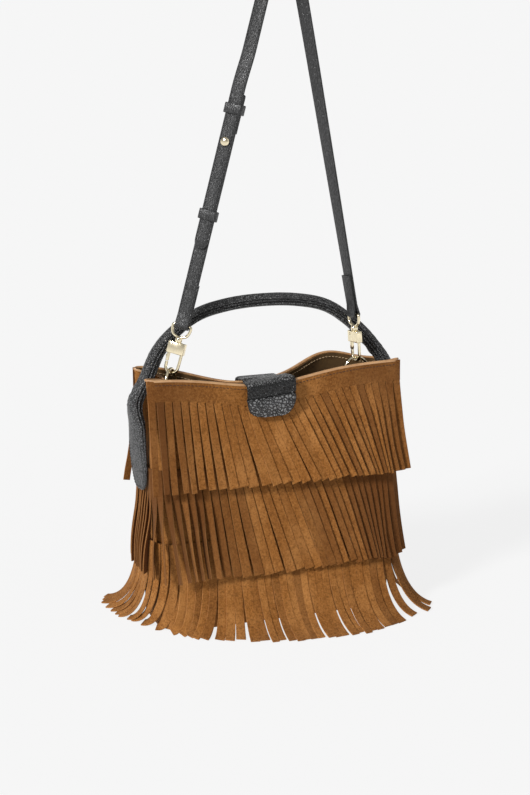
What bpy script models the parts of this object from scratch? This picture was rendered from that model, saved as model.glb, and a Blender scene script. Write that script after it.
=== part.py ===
"""Fringed suede bucket bag with a round carrying handle and a clip-on shoulder strap.

Frame: X runs along the front, the front faces -Y, +Z is up, and the origin is the
middle of the base on the floor. Lengths below are in millimetres; every mesh is
written in metres. The strap is modelled hanging over a round peg of its own size.
"""
import math

import bmesh
import bpy
from mathutils import Matrix, Vector

MM = 0.001
GAP = 0.3                      # clearance between touching pieces

# Bag body
HEIGHT = 233.0                 # rim at the corners
BASE_HALF_WIDTH = 113.0
RIM_HALF_WIDTH = 121.0
BASE_HALF_DEPTH = 42.0
RIM_FRONT_Y = -27.0
RIM_BACK_Y = 22.0
BASE_CORNER = 26.0             # corner radius seen from above
RIM_CORNER = 8.0
SUEDE = 1.6                    # thickness of the body panels
LINING = 1.2
BASE_THICK = 3.0
FOLD_START_Z = 140.0           # gussets fold inward above this height
FOLD_DEPTH = 22.0
FRONT_DIP = 12.0               # the closure pulls the rims down and together
BINDING = 0.6
BINDING_DROP = 5.0

# Samples round the body outline
FRONT_N = 14
SIDE_N = 6
CORNER_N = 4
LOOP_N = 2 * (FRONT_N + SIDE_N) + 4 * CORNER_N
FRONT_LEFT = -CORNER_N / 2
FRONT_RIGHT = FRONT_N + CORNER_N / 2
BACK_RIGHT = FRONT_RIGHT + SIDE_N + CORNER_N
BACK_LEFT = BACK_RIGHT + FRONT_N + CORNER_N
PANEL_ROWS = 6
SEAM = 0.15                    # panels stop short of a corner by this share of a sample

# Fringe tiers: top and bottom heights, and how far the tips stand out
FRINGE = 2.2
STAND_OFF = 1.4                # clear of the curved panel behind
UPPER_BOTTOM = 133.0
UPPER_FLARE = 9.5
MIDDLE_TOP = 158.0
MIDDLE_SIDE_TOP = 121.0
MIDDLE_BOTTOM = 52.0
MIDDLE_FLARE = 12.0
LOWER_TOP = 84.0
LOWER_FLARE = 27.0
LOWER_FRONT_FLARE = 24.0       # added on the front

# Handle: its right half from the tab to the top, as the x, y and z of its middle,
# its width along Y and its thickness
HANDLE_SIDES = 8
HANDLE_HALF = ((119.5, 2, 137, 26, 3), (119.8, 2, 152, 29, 3), (119.5, 2, 168, 27, 5),
               (117, 1, 188, 21, 9), (115, -1, 207, 15, 11), (109, -1, 229, 12.5, 10.5),
               (99.5, 9.5, 249, 13, 12), (84, 12, 266, 13, 12), (61, 12, 281, 13, 12),
               (32, 12, 288, 13, 12))
HANDLE_TOP = (0, 12, 290, 13, 12)
TAB_BOTTOM = 125.0

# Closure
CLOSURE_X = -8.0
TAB_THICK = 2.6
TAB_WIDTH = 46.0
STRIP_WIDTH = 38.0
TAB_BOTTOM_Z = 192.0
ANCHOR_DROP = 28.0
MAGNET_R = 8.0
MAGNET_THICK = 1.0

# Rings, hooks and strap
PIVOT_Y = -8.0
PIVOT_Z = 234.0                # axis on which the strap swings
RING_R = 10.7                  # centre line
RING_WIRE = 1.3
LOOP_WIDTH = 7.0
LOOP_THICK = 1.2
LEFT_HOOK_AT = Vector((-94.0, PIVOT_Y, PIVOT_Z))
LEFT_HOOK_AXIS = Vector((0.30, 0.05, 1.0))
LEFT_TURN = -38.0              # degrees, direction of the hook's width
LEFT_RING_RISE = 3.6           # ring wire above the hook's bar
RIGHT_RING_RISE = 3.1
RIGHT_HOOK_AT = Vector((85.0, PIVOT_Y, PIVOT_Z - RIGHT_RING_RISE))
RIGHT_HOOK_AXIS = Vector((-0.06, 0.05, 1.0))
RIGHT_TURN = -80.0
LEFT_LOOP_END = Vector((-97.0, -4.0, 188.0))      # where the ring loops are sewn down
RIGHT_LOOP_END = Vector((99.5, -4.0, 182.0))
HOOK_HALF = 5.9
HOOK_WIRE = 1.4
HOOK_TIP = 9.5
HEAD_LOW = 17.5
HEAD_HIGH = 28.0
HEAD_WIDTH = 16.0
HEAD_THICK = 6.0
GATE_PIVOT = 20.3
GATE_THICK = 2.4
PIN_R = 0.8
SWIVEL_PIN_R = 1.5
COLLAR_R = 3.0
EYE_LOW = 33.0
EYE_HIGH = 43.7
EYE_HALF = 8.6
EYE_WIRE = 1.3

STRAP_WIDTH = 13.0
STRAP_THICK = 2.0
LAYER = STRAP_THICK + GAP      # distance between two strap layers
PEG_R = 8.0                    # strap centre line round the peg
APEX = Vector((19.5, 9.2, 618.0))
APEX_TURN = -50.0
STRAP_TIP_Z = 343.0
EYE_TAIL = 36.0                # sewn fold above each eye
SHORT_TOP_Z = 474.0
SHORT_TAIL_Z = 443.0
FIXED_KEEPER_Z = 463.0
SLIDING_KEEPER_Z = 372.0
KEEPER_HEIGHT = 9.0
KEEPER_WALL = 1.6
STUD_Z = 435.0
HOLE_PITCH = 30.0
HOLE_R = 1.9
HOLE_STEPS = (-2, -1, 0, 1, 2, 3, 4)
STUD_HEAD_R = 4.0
STUD_NECK_R = 1.5

MATERIALS = {
    "suede": ((0.36, 0.17, 0.055), 0.95, 0.0),
    "lining": ((0.05, 0.028, 0.018), 0.9, 0.0),
    "binding": ((0.30, 0.14, 0.05), 0.5, 0.0),
    "leather": ((0.012, 0.012, 0.013), 0.45, 0.0),
    "gold": ((0.83, 0.66, 0.36), 0.2, 1.0),
    "steel": ((0.6, 0.6, 0.6), 0.35, 1.0),
}


# ---------------------------------------------------------------- small helpers

def mix(a, b, t):
    return a + (b - a) * t


def ease(t):
    """Smooth step from 0 to 1."""
    t = min(max(t, 0.0), 1.0)
    return t * t * (3 - 2 * t)


def hump(value, centre, width):
    return math.exp(-((value - centre) / width) ** 2)


def steps(low, high, count):
    return [mix(low, high, i / count) for i in range(count + 1)]


def smooth_curve(points, per_span):
    """Catmull-Rom curve through the given points."""
    ends = [points[0] * 2 - points[1]] + points + [points[-1] * 2 - points[-2]]
    curve = []
    for a, b, c, d in zip(ends, ends[1:], ends[2:], ends[3:]):
        for i in range(per_span):
            t = i / per_span
            curve.append(0.5 * ((2 * b) + (c - a) * t + (2 * a - 5 * b + 4 * c - d) * t * t
                                + (3 * b - a - 3 * c + d) * t ** 3))
    return curve + [points[-1]]


def material(name):
    made = bpy.data.materials.get(name)
    if made is None:
        colour, roughness, metallic = MATERIALS[name]
        made = bpy.data.materials.new(name)
        made.use_nodes = True
        shader = made.node_tree.nodes["Principled BSDF"]
        shader.inputs["Base Color"].default_value = (*colour, 1.0)
        shader.inputs["Roughness"].default_value = roughness
        shader.inputs["Metallic"].default_value = metallic
    return made


def add_object(name, mesh_data, finish, origin=None, angle=40.0):
    """Add one closed solid; origin is the point that the object turns about."""
    verts, faces = mesh_data
    origin = origin or Vector((0, 0, 0))
    mesh = bpy.data.meshes.new(name)
    mesh.from_pydata([(Vector(v) - origin) * MM for v in verts], [], faces)
    bm = bmesh.new()
    bm.from_mesh(mesh)
    bmesh.ops.recalc_face_normals(bm, faces=bm.faces[:])
    if bm.calc_volume(signed=True) < 0:
        bmesh.ops.reverse_faces(bm, faces=bm.faces[:])
    bm.to_mesh(mesh)
    bm.free()
    mesh.shade_smooth()
    mesh.set_sharp_from_angle(angle=math.radians(angle))
    mesh.materials.append(material(finish))
    obj = bpy.data.objects.new(name, mesh)
    obj.location = origin * MM
    bpy.context.scene.collection.objects.link(obj)
    return obj


def add_tool(name, mesh_data, origin):
    """Add a hidden solid that a Boolean modifier uses."""
    tool = add_object(name, mesh_data, "steel", origin)
    tool.hide_render = True
    tool.display_type = "WIRE"
    return tool


def combine(obj, tool, operation):
    step = obj.modifiers.new(tool.name, "BOOLEAN")
    step.operation = operation
    step.solver = "EXACT"
    step.object = tool


# ---------------------------------------------------------------- solid builders

def join_data(*parts):
    verts, faces = [], []
    for part_verts, part_faces in parts:
        start = len(verts)
        verts += part_verts
        faces += [tuple(start + i for i in face) for face in part_faces]
    return verts, faces


def loft(sections, closed=False):
    """Skin closed sections of equal length, capped or joined end to end."""
    count = len(sections[0])
    verts = [point for section in sections for point in section]
    faces = []
    spans = len(sections) if closed else len(sections) - 1
    for s in range(spans):
        here, there = s * count, (s + 1) % len(sections) * count
        for i in range(count):
            j = (i + 1) % count
            faces.append((here + i, here + j, there + j, there + i))
    if not closed:
        faces.append(tuple(range(count)))
        faces.append(tuple(range(len(verts) - count, len(verts))))
    return verts, faces


def slab(outer, inner):
    """Closed solid between two grids of points."""
    rows, cols = len(outer), len(outer[0])
    verts = [p for row in outer for p in row] + [p for row in inner for p in row]

    def at(side, r, c):
        return (side * rows + r) * cols + c

    faces = []
    for r in range(rows - 1):
        for c in range(cols - 1):
            for side in (0, 1):
                faces.append((at(side, r, c), at(side, r, c + 1),
                              at(side, r + 1, c + 1), at(side, r + 1, c)))
    for c in range(cols - 1):
        for r in (0, rows - 1):
            faces.append((at(0, r, c), at(0, r, c + 1), at(1, r, c + 1), at(1, r, c)))
    for r in range(rows - 1):
        for c in (0, cols - 1):
            faces.append((at(0, r, c), at(0, r + 1, c), at(1, r + 1, c), at(1, r, c)))
    return verts, faces


def directions(path, closed=False):
    """Unit direction of travel at each point of a path."""
    last = len(path) - 1
    result = []
    for i in range(len(path)):
        before = path[i - 1] if i > 0 or closed else path[0]
        after = path[(i + 1) % len(path)] if i < last or closed else path[last]
        result.append((after - before).normalized())
    return result


def tube(path, radius, normal, sides=8, closed=False):
    """Round bar along a flat path; normal is the direction across its plane."""
    sections = []
    for point, along in zip(path, directions(path, closed)):
        side = along.cross(normal).normalized()
        ring = []
        for i in range(sides):
            turn = math.tau * i / sides
            ring.append(point + radius * (math.cos(turn) * side + math.sin(turn) * normal))
        sections.append(ring)
    return loft(sections, closed)


def turned(centre, axis, profile, sides=12):
    """Solid of revolution; profile lists (distance along the axis, radius)."""
    side = axis.orthogonal().normalized()
    other = axis.cross(side)
    sections = []
    for along, radius in profile:
        ring = []
        for i in range(sides):
            turn = math.tau * i / sides
            spoke = math.cos(turn) * side + math.sin(turn) * other
            ring.append(centre + axis * along + spoke * radius)
        sections.append(ring)
    return loft(sections)


def ribbon(points, normals, widths, thickness):
    """Flat band whose middle follows points and whose face looks along normals."""
    sections = []
    for point, along, normal, width in zip(points, directions(points), normals, widths):
        face = (normal - along * normal.dot(along)).normalized()
        across = along.cross(face) * (width / 2)
        lift = face * (thickness / 2)
        sections.append([point + across + lift, point - across + lift,
                         point - across - lift, point + across - lift])
    return loft(sections)


# ---------------------------------------------------------------- body outline

def outline_sizes(z):
    t = z / HEIGHT
    half_width = mix(BASE_HALF_WIDTH, RIM_HALF_WIDTH, t)
    front = mix(-BASE_HALF_DEPTH, RIM_FRONT_Y, t)
    back = mix(BASE_HALF_DEPTH, RIM_BACK_Y, t)
    corner = mix(BASE_CORNER, RIM_CORNER, min(t, 1.0) ** 0.7)
    return half_width, front, back, corner


def plain_outline(k, z):
    """Point at place k round a rectangle with round corners, from the front left."""
    half_width, front, back, corner = outline_sizes(z)
    west, east = corner - half_width, half_width - corner
    south, north = front + corner, back - corner
    k = k % LOOP_N
    spans = ((FRONT_N, (west, front), (east, front)), (CORNER_N, (east, south), -90),
             (SIDE_N, (half_width, south), (half_width, north)),
             (CORNER_N, (east, north), 0),
             (FRONT_N, (east, back), (west, back)), (CORNER_N, (west, north), 90),
             (SIDE_N, (-half_width, north), (-half_width, south)),
             (CORNER_N, (west, south), 180))
    for count, start, end in spans:
        if k <= count:
            break
        k -= count
    t = k / count
    if isinstance(end, tuple):
        return mix(start[0], end[0], t), mix(start[1], end[1], t)
    turn = math.radians(end + 90 * t)
    return start[0] + corner * math.cos(turn), start[1] + corner * math.sin(turn)


def across_share(k, z):
    """0 on the front, 1 on the back, and between the two on a gusset."""
    front, back = outline_sizes(z)[1:3]
    return (plain_outline(k, z)[1] - front) / (back - front)


def gusset_hump(share):
    return ease((share - 0.1) / 0.38) * ease((0.92 - share) / 0.28)


def outline(k, z):
    """Outer face of the body, with folded gussets and a pulled-in back."""
    x, y = plain_outline(k, z)
    share = across_share(k, z)
    fold = FOLD_DEPTH * ease((z - FOLD_START_Z) / (HEIGHT - FOLD_START_Z))
    x -= math.copysign(fold * gusset_hump(share), x)
    pull = ease((z - 110) / 115) * ease(share * 2 - 1)
    y += pull * (9 * hump(x, 66, 34) - 30 * hump(x, CLOSURE_X - 10, 44))
    belly = math.sin(math.pi * min(z / HEIGHT, 1)) * math.cos(x / HEIGHT * 2.6)
    y += 4 * belly * (2 * share - 1)
    return Vector((x, y, z))


def shell_point(k, z, out):
    """Point a given distance outside the body's outer face, at the same height."""
    along = outline(k + 0.05, z) - outline(k - 0.05, z)
    return outline(k, z) + Vector((along.y, -along.x, 0)).normalized() * out


def rim_height(k):
    x = plain_outline(k, HEIGHT)[0]
    share = across_share(k, HEIGHT)
    front = HEIGHT - FRONT_DIP * hump(x, -12, 60)
    back = 219 + 15 * ease((-x - 32) / 88) + 12 * hump(x, 70, 30) + 4 * ease((x - 60) / 60)
    return mix(front, back, ease(share)) - 6 * gusset_hump(share)


def row_heights(k, low, top):
    """Shared heights of the body's rows, the last one just under the binding."""
    return steps(low, top - BINDING_DROP - 1, PANEL_ROWS) + [top]


def places(start, end):
    """Outline places from start to end, held back a little at both seams."""
    if end - start < FRONT_N:
        start, end = start + SEAM, end - SEAM
    inside = [float(k) for k in range(math.ceil(start + 0.5), math.floor(end - 0.5) + 1)]
    return [start + SEAM] + inside + [end - SEAM]


# ---------------------------------------------------------------- body pieces

def panel(start, end):
    """Body panel between two corner seams, from the base to the rim."""
    columns = [(k, row_heights(k, GAP, rim_height(k))) for k in places(start, end)]
    rows = range(PANEL_ROWS + 2)
    outer = [[shell_point(k, heights[r], 0) for k, heights in columns] for r in rows]
    inner = [[shell_point(k, heights[r], -SUEDE) for k, heights in columns] for r in rows]
    return slab(outer, inner)


def loop_at(height_of, out):
    return [shell_point(k, height_of(k), out) for k in range(LOOP_N)]


def base_panel():
    out = -(SUEDE + GAP)
    return loft([loop_at(lambda k: 0.0, out), loop_at(lambda k: BASE_THICK, out)])


def lining():
    outer = -(SUEDE + GAP)
    inner = outer - LINING
    low = BASE_THICK + GAP
    rows = range(PANEL_ROWS + 2)
    columns = [row_heights(k, GAP, rim_height(k)) for k in range(LOOP_N)]

    def section(r, lowest, out):
        return [shell_point(k, max(heights[r], lowest), out)
                for k, heights in enumerate(columns)]

    sections = [section(r, low, outer) for r in rows]
    sections += [section(r, low + LINING, inner) for r in reversed(rows)]
    return loft(sections)


def rim_binding():
    """Folded strip over the outer edge and the top of the panels and the lining."""
    outside = 4 * GAP
    under = 3 * GAP
    inside = -(SUEDE + LINING + GAP)
    shape = ((outside + BINDING, -BINDING_DROP), (outside + BINDING, under + BINDING),
             (inside, under + BINDING), (inside, under), (outside, under),
             (outside, -BINDING_DROP))
    sections = [[shell_point(k, rim_height(k) + rise, out) for out, rise in shape]
                for k in range(LOOP_N)]
    return loft(sections, closed=True)


def fringe(start, end, top_of, bottom, out_of, rows):
    """Hanging fringe layer; out_of(k, t) is how far it stands off at share t."""
    outer, inner = [], []
    for t in steps(0, 1, rows):
        columns = [(k, mix(top_of(k), bottom, t)) for k in places(start, end)]
        outer.append([shell_point(k, z, STAND_OFF + out_of(k, t) + FRINGE)
                      for k, z in columns])
        inner.append([shell_point(k, z, STAND_OFF + out_of(k, t)) for k, z in columns])
    return slab(outer, inner)


def upper_fringe(start, end):
    def top(k):
        return rim_height(k) - BINDING_DROP - 1.5
    return fringe(start, end, top, UPPER_BOTTOM, lambda k, t: UPPER_FLARE * t * t, 4)


def middle_fringe(start, end, top):
    return fringe(start, end, lambda k: top, MIDDLE_BOTTOM,
                  lambda k, t: MIDDLE_FLARE * t * t, 4)


def lower_fringe(start, end):
    """Skirt that curves out until its tips lie on the floor."""
    outer, inner = [], []
    for t in steps(0, 1, 6):
        turn = t * math.pi / 2
        slope_out, slope_down = math.sin(turn), math.cos(turn)
        rows = ([], [])
        for k in places(start, end):
            facing = (shell_point(k, 0, 1) - shell_point(k, 0, 0)).y
            flare = LOWER_FLARE + LOWER_FRONT_FLARE * max(-facing, 0) ** 2
            out = STAND_OFF + FRINGE / 2 + flare * (1 - math.cos(turn))
            z = FRINGE / 2 + (LOWER_TOP - FRINGE / 2) * (1 - math.sin(turn))
            for row, side in zip(rows, (0.5, -0.5)):
                lift = side * FRINGE * slope_out
                point = shell_point(k, max(z, 0), out + side * FRINGE * slope_down)
                row.append(point + Vector((0, 0, lift)))
        outer.append(rows[0])
        inner.append(rows[1])
    return slab(outer, inner)


def build_body():
    sides = {"front": (FRONT_LEFT, FRONT_RIGHT), "right": (FRONT_RIGHT, BACK_RIGHT),
             "back": (BACK_RIGHT, BACK_LEFT), "left": (BACK_LEFT, FRONT_LEFT + LOOP_N)}
    for side, (start, end) in sides.items():
        wide = side in ("front", "back")
        name = f"{side}_panel" if wide else f"{side}_gusset"
        add_object(name, panel(start, end), "suede")
        top = MIDDLE_TOP if wide else MIDDLE_SIDE_TOP
        add_object(f"middle_fringe_{side}", middle_fringe(start, end, top), "suede")
        add_object(f"lower_fringe_{side}", lower_fringe(start, end), "suede")
        if wide:
            add_object(f"upper_fringe_{side}", upper_fringe(start, end), "suede")
    add_object("base_panel", base_panel(), "suede")
    add_object("lining", lining(), "lining")
    add_object("rim_binding", rim_binding(), "binding")


# ---------------------------------------------------------------- handle

def build_handle():
    """Padded round handle whose ends flatten into tabs on the gussets."""
    tip = (outline_sizes(TAB_BOTTOM)[0] + GAP + 1.6, 2, TAB_BOTTOM, 10, 2.6)
    right = (tip, *HANDLE_HALF)
    rows = [(-x, *rest) for x, *rest in right] + [HANDLE_TOP] + list(reversed(right))
    knots = [Vector(row[:3]) for row in rows]
    sizes = [Vector((*row[3:], 0)) for row in rows]
    path, section = smooth_curve(knots, 2), smooth_curve(sizes, 2)
    rings = []
    for point, along, size in zip(path, directions(path), section):
        across = Vector((0, 1, 0))
        out = across.cross(along).normalized()
        ring = []
        for i in range(HANDLE_SIDES):
            turn = math.tau * i / HANDLE_SIDES
            ring.append(point + across * (size.x / 2 * math.cos(turn))
                        + out * (size.y / 2 * math.sin(turn)))
        rings.append(ring)
    add_object("handle", loft(rings), "leather", angle=60)


# ---------------------------------------------------------------- closure

def place_at_x(x, start, end, z):
    """Outline place between start and end whose X is the given one."""
    low, high = start, end
    rising = outline(end, z).x > outline(start, z).x
    for _ in range(40):
        middle = (low + high) / 2
        if (outline(middle, z).x < x) == rising:
            low = middle
        else:
            high = middle
    return (low + high) / 2


def build_closure():
    front_k = place_at_x(CLOSURE_X, 1, FRONT_N - 1, HEIGHT)
    back_k = place_at_x(CLOSURE_X, BACK_RIGHT + 3, BACK_LEFT - 3, HEIGHT)
    front_rim, back_rim = rim_height(front_k), rim_height(back_k)
    fringe_out = STAND_OFF + FRINGE + 2.4

    # Fixed strip on the outside of the back
    outer, inner = [], []
    for z in steps(back_rim + GAP, back_rim - ANCHOR_DROP, 3):
        columns = [place_at_x(CLOSURE_X + STRIP_WIDTH * side, BACK_RIGHT + 3, BACK_LEFT - 3, z)
                   for side in steps(0.5, -0.5, 4)]
        outer.append([shell_point(k, z, fringe_out + GAP + 2.2) for k in columns])
        inner.append([shell_point(k, z, fringe_out + GAP) for k in columns])
    add_object("closure_anchor", slab(outer, inner), "leather")

    # Tab over both rims and down the front, turning about its back edge
    under_tab = [rim_height(front_k + side) for side in (-1.6, 0, 1.6)] + [back_rim]
    bridge_z = max(under_tab) + 5 * GAP + BINDING + TAB_THICK / 2
    hinge = Vector((CLOSURE_X, shell_point(back_k, back_rim, fringe_out + GAP + 3.4).y,
                    bridge_z - TAB_THICK / 2 - GAP))
    magnet_z = front_rim - 19
    face_y = shell_point(front_k, magnet_z - MAGNET_R, STAND_OFF + FRINGE + 0.8).y
    drop_y = face_y - 3 * GAP - 2 * MAGNET_THICK - TAB_THICK / 2
    bend = 5.0
    path = [Vector((CLOSURE_X, y, bridge_z)) for y in steps(hinge.y, drop_y + bend, 5)]
    path += [Vector((CLOSURE_X, drop_y + bend * (1 - math.sin(turn)),
                     bridge_z - bend * (1 - math.cos(turn))))
             for turn in steps(0, math.pi / 2, 4)[1:]]
    straight = bridge_z - bend - 16
    path += [Vector((CLOSURE_X, drop_y, z)) for z in steps(bridge_z - bend, straight, 2)[1:]]
    widths = [mix(STRIP_WIDTH, TAB_WIDTH, ease((i - 3) / 4)) for i in range(len(path))]
    for turn in steps(0, math.radians(66), 4)[1:]:
        path.append(Vector((CLOSURE_X, drop_y, mix(straight, TAB_BOTTOM_Z, math.sin(turn)
                                                   / math.sin(math.radians(66))))))
        widths.append(TAB_WIDTH * (0.35 + 0.65 * math.cos(turn)))
    normals = [Vector((0, -along.z, along.y)) for along in directions(path)]
    add_object("closure_tab", ribbon(path, normals, widths, TAB_THICK), "leather", hinge)

    # Thin magnet caps, one on the front and one under the tab
    out = Vector((0, -1, 0))
    centre = Vector((CLOSURE_X, face_y - GAP, magnet_z))
    disc = ((0, MAGNET_R), (MAGNET_THICK, MAGNET_R - 0.4))
    add_object("panel_magnet", turned(centre, out, disc, 16), "gold")
    centre = centre + out * (MAGNET_THICK + GAP)
    disc = ((0, MAGNET_R - 0.4), (MAGNET_THICK, MAGNET_R))
    add_object("tab_magnet", turned(centre, out, disc, 16), "gold", hinge)


# ---------------------------------------------------------------- rings and hooks

def compass(degrees):
    turn = math.radians(degrees)
    return Vector((math.cos(turn), math.sin(turn), 0))


def hook_frame(origin, axis, turn):
    """Matrix from hook space (width, thickness, length) to the bag's space."""
    length = axis.normalized()
    width = compass(turn)
    width = (width - length * width.dot(length)).normalized()
    thick = length.cross(width)
    rotation = Matrix((width, thick, length)).transposed().to_4x4()
    return Matrix.Translation(origin) @ rotation


def placed(frame, mesh_data):
    verts, faces = mesh_data
    return [frame @ Vector(v) for v in verts], faces


def block(low, high):
    """Box between two corners."""
    corners = ((low[0], low[1]), (high[0], low[1]), (high[0], high[1]), (low[0], high[1]))
    return loft([[Vector((x, y, z)) for x, y in corners] for z in (low[2], high[2])])


def build_hook(side, frame):
    """Snap hook: head and curved bar in one, a gate on a pin, and a swivel eye."""
    origin = frame.translation.copy()
    across = Vector((0, 1, 0))
    head = add_object(f"{side}_hook",
                      placed(frame, block((-HEAD_WIDTH / 2, -HEAD_THICK / 2, HEAD_LOW),
                                          (HEAD_WIDTH / 2, HEAD_THICK / 2, HEAD_HIGH))),
                      "gold", origin)
    rounding = head.modifiers.new("rounding", "BEVEL")
    rounding.width = 1.2 * MM
    rounding.segments = 2

    bar = [Vector((HOOK_HALF, 0, HEAD_LOW + 3)), Vector((HOOK_HALF, 0, HOOK_HALF))]
    bar += [Vector((HOOK_HALF * math.cos(t), 0, HOOK_HALF * (1 - math.sin(t))))
            for t in steps(0, math.pi, 10)[1:]]
    bar.append(Vector((-HOOK_HALF, 0, HOOK_TIP)))
    wire = placed(frame, tube(bar, HOOK_WIRE, across))
    combine(head, add_tool(f"{side}_hook_wire", wire, origin), "UNION")

    up = Vector((0, 0, 1))
    cuts = {
        "bore": turned(Vector((0, 0, 0)), up, ((22.5, SWIVEL_PIN_R + GAP),
                                               (HEAD_HIGH + 1, SWIVEL_PIN_R + GAP))),
        "slot": block((-HEAD_WIDTH, -1.7, HEAD_LOW - 2), (-3.1, 1.7, 24.5)),
        "pin_hole": turned(Vector((-HOOK_HALF, -HEAD_THICK, GATE_PIVOT)), across,
                           ((0, PIN_R + GAP), (2 * HEAD_THICK, PIN_R + GAP)), 10)}
    for cut, mesh_data in cuts.items():
        combine(head, add_tool(f"{side}_{cut}", placed(frame, mesh_data), origin), "DIFFERENCE")

    pivot = frame @ Vector((-HOOK_HALF, 0, GATE_PIVOT))
    gate_half = GATE_THICK / 2
    gate = add_object(f"{side}_hook_gate",
                      placed(frame, block((-HOOK_HALF - gate_half, -1.3, HOOK_TIP + 0.5),
                                          (-HOOK_HALF + gate_half, 1.3, GATE_PIVOT + 2))),
                      "gold", pivot)
    gate_hole = turned(Vector((-HOOK_HALF, -3, GATE_PIVOT)), across,
                       ((0, PIN_R + GAP * 0.6), (6, PIN_R + GAP * 0.6)), 10)
    combine(gate, add_tool(f"{side}_gate_hole", placed(frame, gate_hole), pivot), "DIFFERENCE")

    pin = turned(Vector((-HOOK_HALF, -HEAD_THICK / 2 + 0.2, GATE_PIVOT)), across,
                 ((0, PIN_R), (HEAD_THICK - 0.4, PIN_R)), 10)
    add_object(f"{side}_gate_pin", placed(frame, pin), "steel", pivot)

    post = turned(Vector((0, 0, 0)), up,
                  ((23, SWIVEL_PIN_R), (HEAD_HIGH + GAP, SWIVEL_PIN_R),
                   (HEAD_HIGH + GAP, COLLAR_R), (EYE_LOW - 0.5, COLLAR_R - 0.6)))
    eye = add_object(f"{side}_swivel_eye", placed(frame, post), "gold", origin)
    corner = 2.0
    loop = []
    for cx, cz, start in ((1, 1, 0), (-1, 1, 90), (-1, -1, 180), (1, -1, 270)):
        centre_x = cx * (EYE_HALF - corner)
        centre_z = (EYE_LOW + EYE_HIGH) / 2 + cz * ((EYE_HIGH - EYE_LOW) / 2 - corner)
        for turn in steps(start, start + 90, 3):
            t = math.radians(turn)
            loop.append(Vector((centre_x + corner * math.cos(t), 0,
                                centre_z + corner * math.sin(t))))
    ring = placed(frame, tube(loop, EYE_WIRE, across, closed=True))
    combine(eye, add_tool(f"{side}_eye_ring", ring, origin), "UNION")


def build_ring(side, top, facing):
    """Round ring whose highest wire point is at top and whose axis is facing."""
    centre = top - Vector((0, 0, RING_R))
    sideways = facing.cross(Vector((0, 0, 1)))
    path = [centre + RING_R * (sideways * math.cos(t) + Vector((0, 0, 1)) * math.sin(t))
            for t in steps(0, math.tau, 24)[:-1]]
    add_object(f"{side}_ring", tube(path, RING_WIRE, facing, 8, closed=True), "gold", centre)


def build_ring_loop(side, top, facing, wall):
    """Folded leather strip round the lowest part of a ring, sewn to the gusset."""
    wire = top - Vector((0, 0, 2 * RING_R))
    turn_r = RING_WIRE + 0.9 + LOOP_THICK / 2
    inner = (LOOP_THICK + 2 * GAP) / 2
    long = wall - wire
    depths = steps(0.18, 1, 9)

    def leg(sign):
        return [(wire + long * t, math.copysign(1, sign) * inner, t) for t in depths]

    face_end = Vector((math.copysign(1, -wall.x), 0, 0))

    def face(t):
        start = facing if facing.dot(face_end) >= 0 else -facing
        return start.lerp(face_end, ease((t - 0.15) / 0.85)).normalized()

    points, normals = [], []
    for middle, shift, t in reversed(leg(1)):
        points.append(middle + face(t) * shift)
        normals.append(face(t))
    for turn in steps(0, math.pi, 8):
        spoke = face(0) * math.cos(turn) + Vector((0, 0, 1)) * math.sin(turn)
        points.append(wire + spoke * turn_r)
        normals.append(spoke)
    for middle, shift, t in leg(-1):
        points.append(middle + face(t) * shift)
        normals.append(-face(t))
    widths = [LOOP_WIDTH] * len(points)
    add_object(f"{side}_ring_loop", ribbon(points, normals, widths, LOOP_THICK), "leather")


# ---------------------------------------------------------------- strap

def strap_leg(eye, apex_side, z):
    """Point on the middle line of a strap leg at height z."""
    return eye.lerp(apex_side, (z - eye.z) / (apex_side.z - eye.z))


class Legs:
    """The two strap legs, from their eyes to the peg."""

    def __init__(self, left_frame, right_frame):
        self.eyes = (left_frame @ Vector((0, 0, EYE_HIGH)), right_frame @ Vector((0, 0, EYE_HIGH)))
        across_peg = compass(APEX_TURN + 90)
        self.tops = (APEX - across_peg * PEG_R, APEX + across_peg * PEG_R)
        self.across_peg = across_peg

    def along(self, leg):
        return (self.tops[leg] - self.eyes[leg]).normalized()

    def turn(self, leg, z):
        share = (z - self.eyes[leg].z) / (APEX.z - self.eyes[leg].z)
        start, twist = ((LEFT_TURN, ease(share * 1.6 - 0.6)), (RIGHT_TURN, share))[leg]
        return mix(start, APEX_TURN, twist)

    def face(self, leg, z):
        """Direction away from the other leg's side of the strap."""
        face = self.along(leg).cross(compass(self.turn(leg, z))).normalized()
        return face if leg else -face

    def point(self, leg, z, lift):
        return strap_leg(self.eyes[leg], self.tops[leg], z) + self.face(leg, z) * lift


def eye_fold(legs, leg, tail_lift, main_lift):
    """Band from the sewn tail, down round an eye's bar and up to the main run."""
    eye = legs.eyes[leg]
    radius = EYE_WIRE + 0.35 + STRAP_THICK / 2
    points, normals = [], []
    for z in steps(eye.z + EYE_TAIL, eye.z + 9, 4):
        points.append(legs.point(leg, z, tail_lift))
        normals.append(-legs.face(leg, z))
    face, along = legs.face(leg, eye.z), legs.along(leg)
    for turn in steps(-math.radians(20), math.pi + math.radians(20), 10):
        spoke = -face * math.cos(turn) - along * math.sin(turn)
        points.append(eye + spoke * radius)
        normals.append(spoke)
    for z in steps(eye.z + 9, eye.z + EYE_TAIL + 6, 3):
        points.append(legs.point(leg, z, main_lift))
        normals.append(legs.face(leg, z))
    return points, normals


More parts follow.
